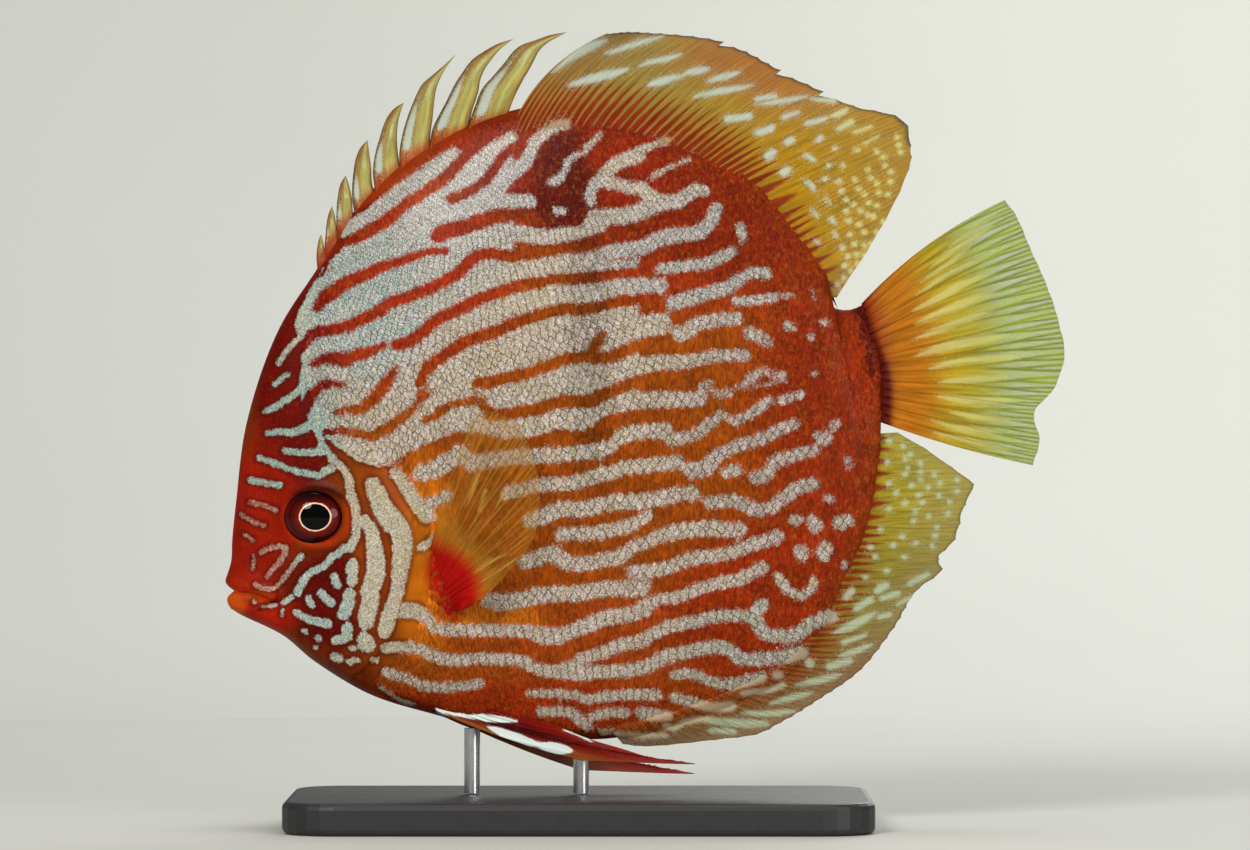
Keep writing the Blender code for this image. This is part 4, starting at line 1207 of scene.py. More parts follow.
gold = mix(gold, SAIL_MARGIN, upper)
gold = mix(gold, SAIL_FRONT, 0.6 * bell(ray_grid % 1, 0.5, 0.2) * ease((15 - ray_grid) / 3))
color = mix(mix(ground_at(place), RUST, 0.8 * ease((outside + 12) / 26)), gold, comb_share(outside, comb))
color = mix(color, SHADOW, 0.9 * bell(out_grid, 1, 0.02) * (ray_grid < 32))
body_pale = np.clip(0.6 * inside_strokes(place, PALE_BACK) - 0.4, -8, 1.4)
sail_pale = np.maximum(fin_marks(place, BACK_STREAKS + dots(BACK_DOTS, BACK_DOT)), body_pale)
sheen = mix(mix(sheen_at(place), BLUE, ease((outside + 4) / 24)), LEMON, ease((place[..., 0] - 830) / 60))
sail = fin_sheet("dorsal_sail", place, WAVE * np.sin(ray_grid * 0.55) * out_grid**2, half, ground=color,
                 sheen=sheen, pale=sail_pale, clear=0.25 * ease(out_grid), ray=ray_grid, out=out_grid)

# %% Join blades and sail
bpy.ops.object.select_all(action="DESELECT")
for blade in blades + [sail]:
    blade.select_set(True)
bpy.context.view_layer.objects.active = sail
bpy.ops.object.join()
sail.name = sail.data.name = "dorsal_fin_skin"
finish_fin(sail, "dorsal_fin")

# %% [markdown]
# ### The fin below
#
# The lower fin is swept back along the belly, so its rays run almost along its edge. Red from the
# body runs out over its foot, and dots and streaks of pale blue follow the rays.

# %% The lower fin
ANAL_KEYS = (
    (0, 0.466, 622, 807, -0.02), (3, 0.510, 672, 809, -0.03), (5, 0.540, 725, 804, -0.04),
    (7, 0.572, 770, 798, -0.05), (9, 0.590, 797, 785, -0.05), (13, 0.635, 842, 758, -0.06),
    (17, 0.684, 886, 726, -0.06), (21, 0.734, 922, 680, -0.05), (25, 0.790, 950, 637, -0.04),
    (27, 0.820, 975, 616, -0.02), (28, 0.835, 971, 605, -0.02), (30, 0.862, 989, 583, -0.01),
    (32, 0.895, 1000, 545, 0.0), (33, 0.925, 1009, 523, 0.0), (34, 0.950, 985, 504, 0.0),
    (35, 0.972, 955, 483, 0.0), (36, 0.990, 925, 466, 0.0),
)
LOW_STREAKS = (
    (3, 4, 812, 743, 840, 738, 862, 732), (4, 4, 850, 723, 872, 717),
    (3, 3, 860, 712, 880, 706, 897, 699), (3, 2, 866, 697, 890, 688),
    (4, 4, 856, 686, 870, 680, 885, 673, 901, 664), (4, 4, 880, 659, 895, 650),
    (3, 3, 753, 775, 790, 775, 812, 772), (3, 3, 783, 765, 805, 758, 832, 752),
    (3, 4, 700, 780, 720, 783, 780, 786), (3, 3, 720, 793, 745, 795), (4, 4, 868, 646, 874, 640),
    (3, 3, 908, 648, 925, 643), (4, 4, 903, 640, 912, 634), (3, 3, 938, 632, 958, 622),
    (3, 3, 905, 669, 916, 666), (2, 2, 925, 655, 945, 645),
)
LOW_DOTS = (
    915, 475, 931, 481, 939, 490, 913, 498, 933, 495, 950, 500, 936, 505, 950, 509, 965, 512, 933, 512,
    915, 522, 950, 518, 940, 524, 958, 527, 971, 522, 990, 518, 990, 530, 923, 532, 970, 535, 948, 535,
    933, 543, 952, 543, 982, 542, 915, 550, 944, 552, 980, 555, 959, 558, 942, 563, 968, 570, 906, 572,
    966, 580, 930, 580, 945, 587, 920, 590, 963, 590, 895, 592, 900, 602, 932, 603, 868, 613, 913, 618,
    889, 625, 905, 635,
)
low_root = edge_root(LOWER, -LOW_SINK)
LOW_OLIVE = paint(136, 118, 34)
LOW_YELLOW = paint(160, 144, 30)
LOW_BROWN = paint(132, 84, 24)
LOW_SHEEN = paint(186, 202, 172)
table, ray_grid, out_grid = fan(ANAL_KEYS, 12, 40, 0.3)
root = low_root(table[:, 0])
place = laid_on_rays(root, table, out_grid * scalloped(ray_grid, 0.02))
reach = reach_along(root, table, out_grid)
strong = branches(ray_grid, out_grid)
shown = ease(ray_grid / 1.5) * ease((36 - ray_grid) / 1.5)
outside, foot = fin_foot(LOWER_LINE, False, table[:, 0], place, reach, shown)
half = WEB_HALF + (RIDGE_FOOT - RIDGE_LOSS * out_grid) * strong * ease((outside + 2) / 14) + foot
low_gold = mix(plain(LOW_OLIVE, place), LOW_YELLOW, ease((ray_grid - 24) / 10))
comb = comb_start(ray_grid, -20, np.interp(ray_grid, *LOW_COMB))
low_gold = mix(low_gold, LOW_BROWN, 0.8 * ease((24 - ray_grid) / 8))
color = mix(ground_at(place), RUST, 0.35 * ease((outside + 12) / 26))
color = mix(color, low_gold, comb_share(outside, comb))
color = mix(color, SHADOW, 0.6 * bell(out_grid, 1, 0.02))
most = 4.4 - 3.4 * ease((outside + 2) / 12)
body_pale = np.clip(inside_strokes(place, PALE_LOW) - 0.6, -8, most)
low_pale = np.maximum(fin_marks(place, LOW_STREAKS + dots(LOW_DOTS, LOW_DOT)), body_pale)
sheen = mix(1.12 * sheen_at(place), LOW_SHEEN, ease((outside + 6) / 18))
low_fin = fin_sheet("anal_fin_skin", place, WAVE * np.sin(ray_grid * 0.5 + 1) * out_grid**2, half,
                    ground=color, sheen=sheen, pale=low_pale, clear=0.3 * ease(out_grid), ray=ray_grid,
                    out=out_grid)
finish_fin(low_fin, "anal_fin")

# %% [markdown]
# ### The tail fin
#
# Sixteen rays spread from the stalk. The tail is opaque and rusty at its root, with a dark
# upright bar, then gold with bright streaks of web, and almost clear beyond its middle.

# %% The tail fin
CAUDAL_KEYS = (
    (0, 0.00, 1043, 210, 0.10), (1, 0.06, 1054, 224, 0.09), (3, 0.19, 1071, 262, 0.06),
    (5, 0.32, 1088, 300, 0.04), (7, 0.45, 1102, 342, 0.02), (9, 0.58, 1108, 388, 0.0),
    (10, 0.64, 1099, 414, -0.01), (12, 0.77, 1075, 448, -0.02), (13, 0.83, 1081, 470, -0.03),
    (15, 0.97, 1074, 502, -0.04),
)
TAIL_STREAKS = (
    (2, 3, 945, 315, 960, 305, 980, 292, 1012, 277), (3, 3, 942, 332, 975, 315, 1000, 301, 1030, 290),
    (3, 4, 944, 347, 975, 333, 1000, 323, 1035, 312), (3, 4, 945, 362, 975, 351, 1005, 340, 1030, 334),
    (4, 5, 945, 381, 975, 372, 1005, 365, 1045, 358), (3, 4, 960, 396, 985, 389, 1010, 385, 1060, 383),
    (3, 3, 970, 411, 1000, 408, 1050, 406), (3, 4, 970, 426, 1000, 430, 1055, 431),
    (3, 3, 984, 444, 1020, 449, 1060, 453), (2, 3, 962, 452, 990, 460, 1040, 467),
    (2, 2, 965, 466, 1000, 474, 1050, 486), (2, 2, 950, 300, 975, 284, 1005, 262),
    (2, 2, 960, 285, 990, 262, 1030, 238), (2, 2, 975, 268, 1000, 248, 1035, 226),
)
TAIL_BAR = ((884, 330), (890, 350), (898, 372), (908, 395), (912, 420), (911, 455))


def tail_root(share):
    """Roots of the tail's rays, inside the end of the stalk."""
    return body_place(np.ones_like(share), 0.98 - 0.96 * share) - (9, 0)


TAIL_WAVE = 0.0007
TAIL_ORANGE = paint(176, 106, 20)
TAIL_GOLD = paint(168, 152, 36)
TAIL_RUST = paint(150, 60, 14)
TAIL_GREEN = paint(152, 170, 44)
TAIL_RAY = paint(150, 96, 20)
TAIL_RAY_END = paint(96, 112, 40)
TAIL_SHEEN = paint(208, 204, 128)
table, ray_grid, out_grid = fan(CAUDAL_KEYS, 18, 56, 0.2)
root = tail_root(table[:, 0])
place = laid_on_rays(root, table, out_grid * scalloped(ray_grid, 0.004))
reach = reach_along(root, table, out_grid)
strong = branches(ray_grid, out_grid)
half = WEB_HALF + (0.00038 - 0.00026 * out_grid) * strong + 0.0026 * np.exp(-reach / 15.0)
color = mix(plain(TAIL_ORANGE, place), TAIL_GOLD, ease((reach - 45) / 60))
color = mix(color, TAIL_RUST, ease((34 - reach) / 30))
color = mix(color, TAIL_GREEN, ease((reach - 100) / 60))
color = mix(color, TAIL_RAY, 0.5 * strong * ease((reach - 30) / 30) * ease((150 - reach) / 60))
color = mix(color, TAIL_RAY_END, 0.7 * strong**2 * ease((reach - 90) / 60))
bar_away, _ = from_line(place, TAIL_BAR)
color = mix(color, STALK_PAINT, ease((12 - bar_away) / 9))
clear = 0.66 * ease((reach - 80) / 90) * (1 - 0.8 * strong)
tail = fin_sheet("caudal_fin_skin", place, TAIL_WAVE * np.sin(ray_grid * 0.45) * out_grid**2, half,
                 ground=color, sheen=plain(TAIL_SHEEN, place), pale=fin_marks(place, TAIL_STREAKS),
                 clear=clear, ray=ray_grid, out=out_grid)
finish_fin(tail, "caudal_fin")

# %% [markdown]
# ### Breast fins
#
# The breast fins are clear golden fans that grow from a crimson root and stand out a little from
# the flank, so the pattern shows through them.

# %% The breast fins
PECTORAL_KEYS = (
    (0, 0.00, 461, 446, 0.06), (1, 0.10, 480, 443, 0.05), (2, 0.20, 499, 450, 0.04),
    (4, 0.36, 520, 476, 0.02), (6, 0.52, 532, 521, 0.0), (8, 0.68, 530, 566, -0.02),
    (10, 0.84, 514, 599, -0.04), (11, 0.92, 494, 622, -0.05), (12, 1.0, 474, 643, -0.06),
)
BREAST_ROOT = smooth_line(((417, 606), (428, 627), (440, 645), (446, 661)), 40)
BREAST_SUNK = 0.0016
BREAST_STAND_OFF = 0.0012
BREAST_SPREAD = 0.0085
BREAST_STREAKS = (
    (1.5, 2, 453, 552, 460, 528, 469, 505), (2, 3, 466, 550, 474, 530), (1.5, 2, 485, 547, 495, 530),
    (1.2, 1.6, 462, 618, 480, 605, 500, 597), (1.4, 1.6, 470, 628, 490, 614, 508, 602),
    (1.2, 1.4, 456, 580, 470, 560),
)
BREAST_GOLD = paint(176, 124, 36)
BREAST_ORANGE = paint(186, 92, 20)
BREAST_RED = paint(176, 14, 8)
BREAST_SHEEN = paint(222, 186, 96)
table, ray_grid, out_grid = fan(PECTORAL_KEYS, 14, 44, 0.2)
root = on_line(BREAST_ROOT, table[:, 0])
place = laid_on_rays(root - (6, 0), table, out_grid)
reach = reach_along(root, table, out_grid)
strong = branches(ray_grid, out_grid)
fan_edge = 1 - np.abs(2 * ray_grid / 12 - 1) ** 3
half = 0.00008 + (0.00026 - 0.00018 * out_grid) * strong + 0.0009 * fan_edge * np.exp(-(reach / 26.0) ** 2)
flank = body_half(*find_on_body(np.array([(432.0, 632.0)]), np.array([0.3]), np.array([0.3])))[0]
depth = flank - BREAST_SUNK + (BREAST_STAND_OFF + BREAST_SUNK) * ease(out_grid / 0.24)
depth = depth + BREAST_SPREAD * out_grid * (1 - 0.35 * out_grid)
color = mix(plain(BREAST_GOLD, place), BREAST_ORANGE, ease((60 - reach) / 40))
color = mix(color, BREAST_RED, ease((50 - 16 * np.abs(ray_grid / 6 - 1.1) ** 2 - reach) / 22))
clear = 0.97 * ease((reach - 26) / 40) * (1 - 0.3 * strong)
for side, label in ((-1, "left"), (1, "right")):
    breast = fin_sheet("pectoral_skin_" + label, place, side * depth, half, ground=color,
                       sheen=plain(BREAST_SHEEN, place), pale=fin_marks(place, BREAST_STREAKS),
                       clear=clear, ray=ray_grid, out=out_grid)
    finish_fin(breast, "pectoral_fin_" + label)

# %% [markdown]
# ### Belly fins
#
# The belly fins are laid back under the belly: dark red, with two bright bluish white bands and a
# long drawn-out tip.

# %% The belly fins
PELVIC_KEYS = (
    (0, 0.0, 577, 825, -0.05), (1, 0.2, 700, 829, -0.05), (2, 0.4, 655, 822, -0.04),
    (3, 0.6, 622, 812, -0.04), (4, 0.8, 585, 801, -0.03), (5, 1.0, 548, 786, -0.02),
)
BELLY_ROOT = smooth_line(((412, 774), (426, 776), (440, 775), (456, 770)), 30)
BELLY_DEEP, BELLY_SIDE = 0.0028, 0.0054
BELLY_STREAKS = (
    (3, 4, 414, 771, 430, 773, 450, 775, 470, 778, 490, 780, 507, 782),
    (3, 6, 474, 788, 490, 794, 510, 802, 530, 808),
    (6, 5, 530, 808, 550, 812, 568, 814), (1.5, 1.5, 557, 791, 575, 797, 590, 805),
)
BELLY_RED = paint(122, 14, 10)
BELLY_DARK = paint(60, 6, 6)
BELLY_TIP = paint(150, 30, 10)
SPINE_BROWN = paint(146, 86, 34)
BELLY_FOOT = paint(134, 40, 9)
BELLY_BAND = paint(226, 240, 236)
for side, label, drop in ((-1, "left", 0.0), (1, "right", 14.0)):
    lowered = [(ray, share, across, down + drop, bend) for ray, share, across, down, bend in PELVIC_KEYS]
    table, ray_grid, out_grid = fan(lowered, 14, 50, 0.2)
    place = laid_on_rays(on_line(BELLY_ROOT, table[:, 0]) + (-6, 0.15 * drop - 9), table, out_grid)
    strong = branches(ray_grid, out_grid)
    half = 0.00012 + (0.00036 - 0.00026 * out_grid) * strong + 0.0006 * np.exp(-(out_grid / 0.08) ** 2)
    depth = BELLY_DEEP + (BELLY_SIDE - BELLY_DEEP) * ease(out_grid / 0.3)
    color = mix(plain(BELLY_RED, place), BELLY_DARK, bell(ray_grid, 2.2, 1.4))
    color = mix(color, BELLY_TIP, ease(out_grid * 1.6 - 0.7))
    color = mix(color, SPINE_BROWN, 0.8 * bell(ray_grid, 0, 0.4))
    color = mix(color, BELLY_FOOT, ease((0.14 - out_grid) / 0.12))
    belly = fin_sheet("pelvic_skin_" + label, place, side * depth, half, ground=color,
                      sheen=plain(BELLY_BAND, place), pale=fin_marks(place, BELLY_STREAKS),
                      clear=0.2 * ease(out_grid * 1.2 - 0.3), ray=ray_grid, out=out_grid)
    finish_fin(belly, "pelvic_fin_" + label)

# %% [markdown]
# ## Finishes
#
# A finish here turns the noted values into colour. One group draws the markings: it compares how
# far inside a pale mark a point lies with a fine grain, so that the edges of a mark break up into
# specks as on real scales, and it paints shade along the rim of each scale, where the rim stands over
# the next scale. Skin and scales share the group, so that they carry the same pattern.

# %% Helpers for nodes


def node(tree, kind, inputs=(), **settings):
    """A node with its settings and its inputs, each a value or another node's output."""
    made = tree.nodes.new("ShaderNode" + kind)
    for setting, value in settings.items():
        setattr(made, setting, value)
    for key, value in dict(inputs).items():
        if isinstance(value, bpy.types.NodeSocket):
            tree.links.new(value, made.inputs[key])
        else:
            made.inputs[key].default_value = value
    return made


def noted(tree, name, output="Fac"):
    """A value or colour that is noted on the piece's points."""
    return node(tree, "Attribute", attribute_name=name).outputs[output]


def reckoned(tree, operation, *values, clamp=False):
    """One sum on values or other nodes' outputs."""
    made = node(tree, "Math", operation=operation, use_clamp=clamp)
    for index, value in enumerate(values):
        if isinstance(value, bpy.types.NodeSocket):
            tree.links.new(value, made.inputs[index])
        else:
            made.inputs[index].default_value = value
    return made.outputs[0]


def stepped(tree, value, low, high, out_low=0.0, out_high=1.0):
    """A smooth step from one value to another."""
    return node(tree, "MapRange", {"Value": value, "From Min": low, "From Max": high, "To Min": out_low,
                                   "To Max": out_high}, interpolation_type="SMOOTHSTEP").outputs["Result"]


def blended(tree, share, first, second, kind="MIX"):
    """Two colours mixed by a share."""
    made = node(tree, "Mix", data_type="RGBA", blend_type=kind)
    for index, value in ((0, share), (6, first), (7, second)):
        if isinstance(value, bpy.types.NodeSocket):
            tree.links.new(value, made.inputs[index])
        elif index == 0:
            made.inputs[0].default_value = value
        else:
            made.inputs[index].default_value = (*value, 1)
    return made.outputs[2]


def shaded(tree, color, share):
    """A colour made darker or lighter by a share."""
    return node(tree, "VectorMath", {0: color, 1: share}, operation="MULTIPLY").outputs[0]


def bumped(tree, shader, strength, distance, height):
    """Small rises in the shader's normal."""
    bump = node(tree, "Bump", {"Strength": strength, "Distance": distance, "Height": height})
    tree.links.new(bump.outputs[0], shader.inputs["Normal"])


def grain(tree, size, detail=2.0, rough=0.5, away=(0, 0, 0)):
    """Noise on the object's own coordinates, with grains of about one size in metres."""
    place = node(tree, "TexCoord").outputs["Object"]
    moved = node(tree, "Mapping", {"Vector": place, "Location": away}).outputs[0]
    return node(tree, "TexNoise", {"Vector": moved, "Scale": 1 / size, "Detail": detail,
                                   "Roughness": rough}).outputs["Fac"]


def new_group(name, inputs, outputs):
    """A node group with named inputs and outputs."""
    tree = bpy.data.node_groups.new(name, "ShaderNodeTree")
    for title, value in inputs:
        socket = tree.interface.new_socket(name=title, in_out="INPUT", socket_type="NodeSocketFloat")
        socket.default_value = value
    for title, kind in outputs:
        tree.interface.new_socket(name=title, in_out="OUTPUT", socket_type="NodeSocket" + kind)
    return tree, tree.nodes.new("NodeGroupInput").outputs, tree.nodes.new("NodeGroupOutput").inputs


def new_finish(name, **constants):
    """A material with its node tree and its shader, which has the constant values on its sockets."""
    finish = bpy.data.materials.new(name)
    finish.use_nodes = True
    tree = finish.node_tree
    shader = tree.nodes["Principled BSDF"]
    for title, value in constants.items():
        shader.inputs[title.replace("_", " ")].default_value = value
    return finish, tree, shader


def placed_group(tree, group, **values):
    """A group placed in a finish, with its own values."""
    made = tree.nodes.new("ShaderNodeGroup")
    made.node_tree = group
    for key, value in values.items():
        made.inputs[key].default_value = value
    return made.outputs


# %% The group for markings and the painted shade on scale rims
# Painted shade: the dark line along each scale's rim, where it stands over the next scale.
SCALE_RIM_SHADE = (0.030, 0.016, 0.008)
BORDER_DARK = (0.06, 0.004, 0.002)
PINK, SKY, CREAM = (0.86, 0.68, 0.70), (0.50, 0.68, 0.74), (0.80, 0.70, 0.40)
EMBER, GOLD_DUST = (0.46, 0.155, 0.012), (0.42, 0.22, 0.04)
markings_and_rim_shade, given, result = new_group(
    "markings_and_rim_shade",
    (("Speckle", 5.0), ("Softness", 2.5), ("Rim", 0.35), ("Border", 0.0), ("Wobble", 4.0), ("Grit", 0.66),
     ("Combing", 1.0)),
    (("Color", "Color"), ("Pale", "Float"), ("Height", "Float")))
fine = grain(markings_and_rim_shade, 0.00042, 3.0, 0.6)
broad = grain(markings_and_rim_shade, 0.0045, 2.0, 0.5, (3, 1, 2))
shift = reckoned(markings_and_rim_shade, "SUBTRACT", fine, 0.5)
inside = reckoned(markings_and_rim_shade, "MULTIPLY_ADD", shift, given["Speckle"], noted(markings_and_rim_shade, "pale"))
waves = reckoned(markings_and_rim_shade, "SUBTRACT", grain(markings_and_rim_shade, 0.0013, 1.0, 0.5, (7, 3, 1)), 0.5)
inside = reckoned(markings_and_rim_shade, "MULTIPLY_ADD", waves, given["Wobble"], inside)
low = reckoned(markings_and_rim_shade, "MULTIPLY", given["Softness"], -1.0)
pale = stepped(markings_and_rim_shade, inside, low, given["Softness"])
tint = stepped(markings_and_rim_shade, broad, 0.3, 0.7, 0.84, 1.14)
ground = shaded(markings_and_rim_shade, noted(markings_and_rim_shade, "ground", "Color"), tint)
sheen = noted(markings_and_rim_shade, "sheen", "Color")
pearl = blended(markings_and_rim_shade, reckoned(markings_and_rim_shade, "MULTIPLY", noted(markings_and_rim_shade, "flake"), 0.40), sheen, PINK)
glitter = grain(markings_and_rim_shade, 0.00030, 2.0, 0.75, (2, 2, 5))
pearl = blended(markings_and_rim_shade, stepped(markings_and_rim_shade, fine, 0.35, 0.75, 0.0, 0.32), pearl, SKY)
clouds = stepped(markings_and_rim_shade, grain(markings_and_rim_shade, 0.0008, 2.0, 0.6, (6, 1, 8)), 0.5, 0.7, 0.0, 0.4)
pearl = blended(markings_and_rim_shade, clouds, pearl, CREAM)
pearl = shaded(markings_and_rim_shade, pearl, stepped(markings_and_rim_shade, glitter, 0.32, 0.68, given["Grit"], 1.20))
flaked = shaded(markings_and_rim_shade, ground, reckoned(markings_and_rim_shade, "MULTIPLY_ADD", noted(markings_and_rim_shade, "flake"), 0.3, 0.85))
place = node(markings_and_rim_shade, "TexCoord").outputs["Object"]
upright = node(markings_and_rim_shade, "Mapping", {"Vector": place, "Scale": (3200, 3200, 700)}).outputs[0]
combs = node(markings_and_rim_shade, "TexNoise", {"Vector": upright, "Scale": 1.0, "Detail": 2.0}).outputs["Fac"]
combed = shaded(markings_and_rim_shade, flaked, stepped(markings_and_rim_shade, combs, 0.3, 0.7, 0.66, 1.34))
flaked = blended(markings_and_rim_shade, given["Combing"], flaked, combed)
embers = stepped(markings_and_rim_shade, grain(markings_and_rim_shade, 0.0009, 3.0, 0.65, (4, 9, 6)), 0.50, 0.72)
embers = reckoned(markings_and_rim_shade, "MULTIPLY", embers, 0.30)
flaked = blended(markings_and_rim_shade, reckoned(markings_and_rim_shade, "MULTIPLY", embers, given["Combing"]), flaked, EMBER)
flaked = blended(markings_and_rim_shade, stepped(markings_and_rim_shade, glitter, 0.60, 0.74, 0.0, 0.30), flaked, GOLD_DUST)
edge = reckoned(markings_and_rim_shade, "MULTIPLY", stepped(markings_and_rim_shade, noted(markings_and_rim_shade, "pale"), -6.0, -1.0), given["Border"])
flaked = blended(markings_and_rim_shade, edge, flaked, BORDER_DARK)
both = blended(markings_and_rim_shade, pale, flaked, pearl)
# Painted shade along each scale's rim, broken up by grain and fainter on the dark ground.
rim = stepped(markings_and_rim_shade, noted(markings_and_rim_shade, "rim"), 0.72, 0.98, 0.0, 1.0)
broken = stepped(markings_and_rim_shade, grain(markings_and_rim_shade, 0.0011, 2.0, 0.6, (8, 2, 4)), 0.34, 0.56, 0.35, 1.0)
broken = reckoned(markings_and_rim_shade, "MULTIPLY", broken, given["Rim"])
dark = reckoned(markings_and_rim_shade, "MULTIPLY", rim, broken)
dark = reckoned(markings_and_rim_shade, "MULTIPLY", dark, stepped(markings_and_rim_shade, pale, 0.2, 0.8, 0.22, 1.0))
rim_shaded = blended(markings_and_rim_shade, dark, both, SCALE_RIM_SHADE)
markings_and_rim_shade.links.new(rim_shaded, result["Color"])
markings_and_rim_shade.links.new(pale, result["Pale"])
markings_and_rim_shade.links.new(reckoned(markings_and_rim_shade, "MULTIPLY_ADD", pale, 0.3, fine), result["Height"])
print("markings group has", len(markings_and_rim_shade.nodes), "nodes")

# %% [markdown]
# ### Skin and scales
#
# Wet skin has a soft gloss with a sharper film of slime over it, which is what a clear coat does.
# The pale marks are mirrors of tiny crystals in the skin, so they are a little smoother.

# %% Skin and scale finishes
skin_finish, tree, shader = new_finish("wet_skin", Specular_IOR_Level=0.03, Coat_Roughness=0.16)
marked = placed_group(tree, markings_and_rim_shade, Speckle=5.0, Softness=1.3, Rim=0.0, Border=0.55, Wobble=5.0, Grit=0.38,
                      Combing=0.12)
tree.links.new(marked["Color"], shader.inputs["Base Color"])
tree.links.new(stepped(tree, marked["Pale"], 0.0, 1.0, 0.02, 0.14), shader.inputs["Coat Weight"])
tree.links.new(stepped(tree, marked["Pale"], 0.0, 1.0, 0.46, 0.36), shader.inputs["Roughness"])
bumped(tree, shader, 0.25, 0.00012, grain(tree, 0.0006, 2.0, 0.55, (1, 5, 2)))
skin.data.materials.append(skin_finish)

scale_finish, tree, shader = new_finish("scale_coat", Specular_IOR_Level=0.04, Coat_Roughness=0.14)
marked = placed_group(tree, markings_and_rim_shade, Speckle=10.0, Softness=2.4, Rim=0.85, Border=0.0, Wobble=4.0, Grit=0.38)
tree.links.new(marked["Color"], shader.inputs["Base Color"])
tree.links.new(stepped(tree, marked["Pale"], 0.0, 1.0, 0.02, 0.16), shader.inputs["Coat Weight"])
tree.links.new(stepped(tree, marked["Pale"], 0.0, 1.0, 0.48, 0.34), shader.inputs["Roughness"])
bumped(tree, shader, 0.2, 0.00008, marked["Height"])
for piece in coats:
    piece.data.materials.append(scale_finish)

# %% [markdown]
# ### Fins
#
# A fin is thin enough for light to pass. Its finish draws streaks along the rays from the noted
# ray number and way out, speckles the bright marks, and lets the light through where the fin is
# clear.

# %% Fin finish
fin_group, given, result = new_group(
    "fin_web",
    (("Soft", 2.0), ("Strength", 0.8), ("Fine", 6.0), ("Threads", 0.72), ("Glitter", 0.5), ("Combed", 6.0)),
    (("Color", "Color"), ("Pale", "Float"), ("Clear", "Float"), ("Height", "Float")))
ray, out = noted(fin_group, "ray"), noted(fin_group, "out")
across = reckoned(fin_group, "MULTIPLY", ray, given["Fine"])
bent = node(fin_group, "CombineXYZ", {"X": across, "Y": reckoned(fin_group, "MULTIPLY", out, 3.0)}).outputs[0]
threads = node(fin_group, "TexNoise", {"Vector": bent, "Scale": 1.0, "Detail": 3.0, "Roughness": 0.6})
threads = threads.outputs["Fac"]
fine = grain(fin_group, 0.00035, 3.0, 0.6)
shade = stepped(fin_group, threads, 0.3, 0.7, 0.72, 1.24)
web = shaded(fin_group, noted(fin_group, "ground", "Color"), shade)
shift = reckoned(fin_group, "SUBTRACT", fine, 0.5)
inside = reckoned(fin_group, "MULTIPLY_ADD", shift, 2.4, noted(fin_group, "pale"))
shift = reckoned(fin_group, "SUBTRACT", threads, 0.5)
inside = reckoned(fin_group, "MULTIPLY_ADD", shift, given["Combed"], inside)
low = reckoned(fin_group, "MULTIPLY", given["Soft"], -1.0)
pale = reckoned(fin_group, "MULTIPLY", stepped(fin_group, inside, low, given["Soft"]), given["Strength"])
glitter = stepped(fin_group, fine, 0.52, 0.66, 0.0, given["Glitter"])
glitter = reckoned(fin_group, "MULTIPLY", glitter, stepped(fin_group, inside, -9.0, 0.0))
web = blended(fin_group, glitter, web, noted(fin_group, "sheen", "Color"))
color = blended(fin_group, pale, web, noted(fin_group, "sheen", "Color"))
thread_clear = stepped(fin_group, threads, 0.35, 0.65, 1.0, given["Threads"])
clear = reckoned(fin_group, "MULTIPLY", noted(fin_group, "clear"), thread_clear)
kept = reckoned(fin_group, "MULTIPLY", clear, stepped(fin_group, pale, 0.0, 1.0, 1.0, 0.35))
fin_group.links.new(color, result["Color"])
fin_group.links.new(pale, result["Pale"])
fin_group.links.new(reckoned(fin_group, "SUBTRACT", 1.0, kept, clamp=True), result["Clear"])
fin_group.links.new(reckoned(fin_group, "MULTIPLY_ADD", threads, 0.6, fine), result["Height"])


def fin_finish(name, roughness, **values):
    """A finish for one kind of fin."""
    finish, tree, shader = new_finish(name, Roughness=roughness, Specular_IOR_Level=0.05,
                                      Coat_Weight=0.03, Coat_Roughness=0.15)
    drawn = placed_group(tree, fin_group, **values)
    tree.links.new(drawn["Color"], shader.inputs["Base Color"])
    tree.links.new(drawn["Clear"], shader.inputs["Alpha"])
    bumped(tree, shader, 0.3, 0.0001, drawn["Height"])
    return finish


sail_finish = fin_finish("fin_sail", 0.48, Fine=7.0, Soft=2.6, Strength=0.74, Glitter=0.5, Combed=3.5)
fan_finish = fin_finish("fin_fan", 0.46, Fine=2.6, Soft=2.2, Strength=0.58, Glitter=0.2)
breast_finish = fin_finish("fin_breast", 0.46, Fine=6.0, Soft=2.0, Strength=0.45, Threads=0.9, Glitter=0.1)
belly_finish = fin_finish("fin_belly", 0.44, Fine=5.0, Soft=1.0, Strength=0.95, Glitter=0.05, Combed=3.0)
for name, finish in (("dorsal_fin_skin", sail_finish), ("anal_fin_skin", sail_finish),
                     ("caudal_fin_skin", fan_finish), ("pectoral_skin_left", breast_finish),
                     ("pectoral_skin_right", breast_finish), ("pelvic_skin_left", belly_finish),
                     ("pelvic_skin_right", belly_finish)):
    materials = bpy.data.objects[name].data.materials
    materials.clear()
    materials.append(finish)
    print(name, "wears", finish.name)

# %% [markdown]
# ### Eye
#
# From the middle outwards the eye is a black pupil, a thin cream ring and a dark red iris with a
# darker fold near its rim and black above and below. A clear coat makes its front wet.

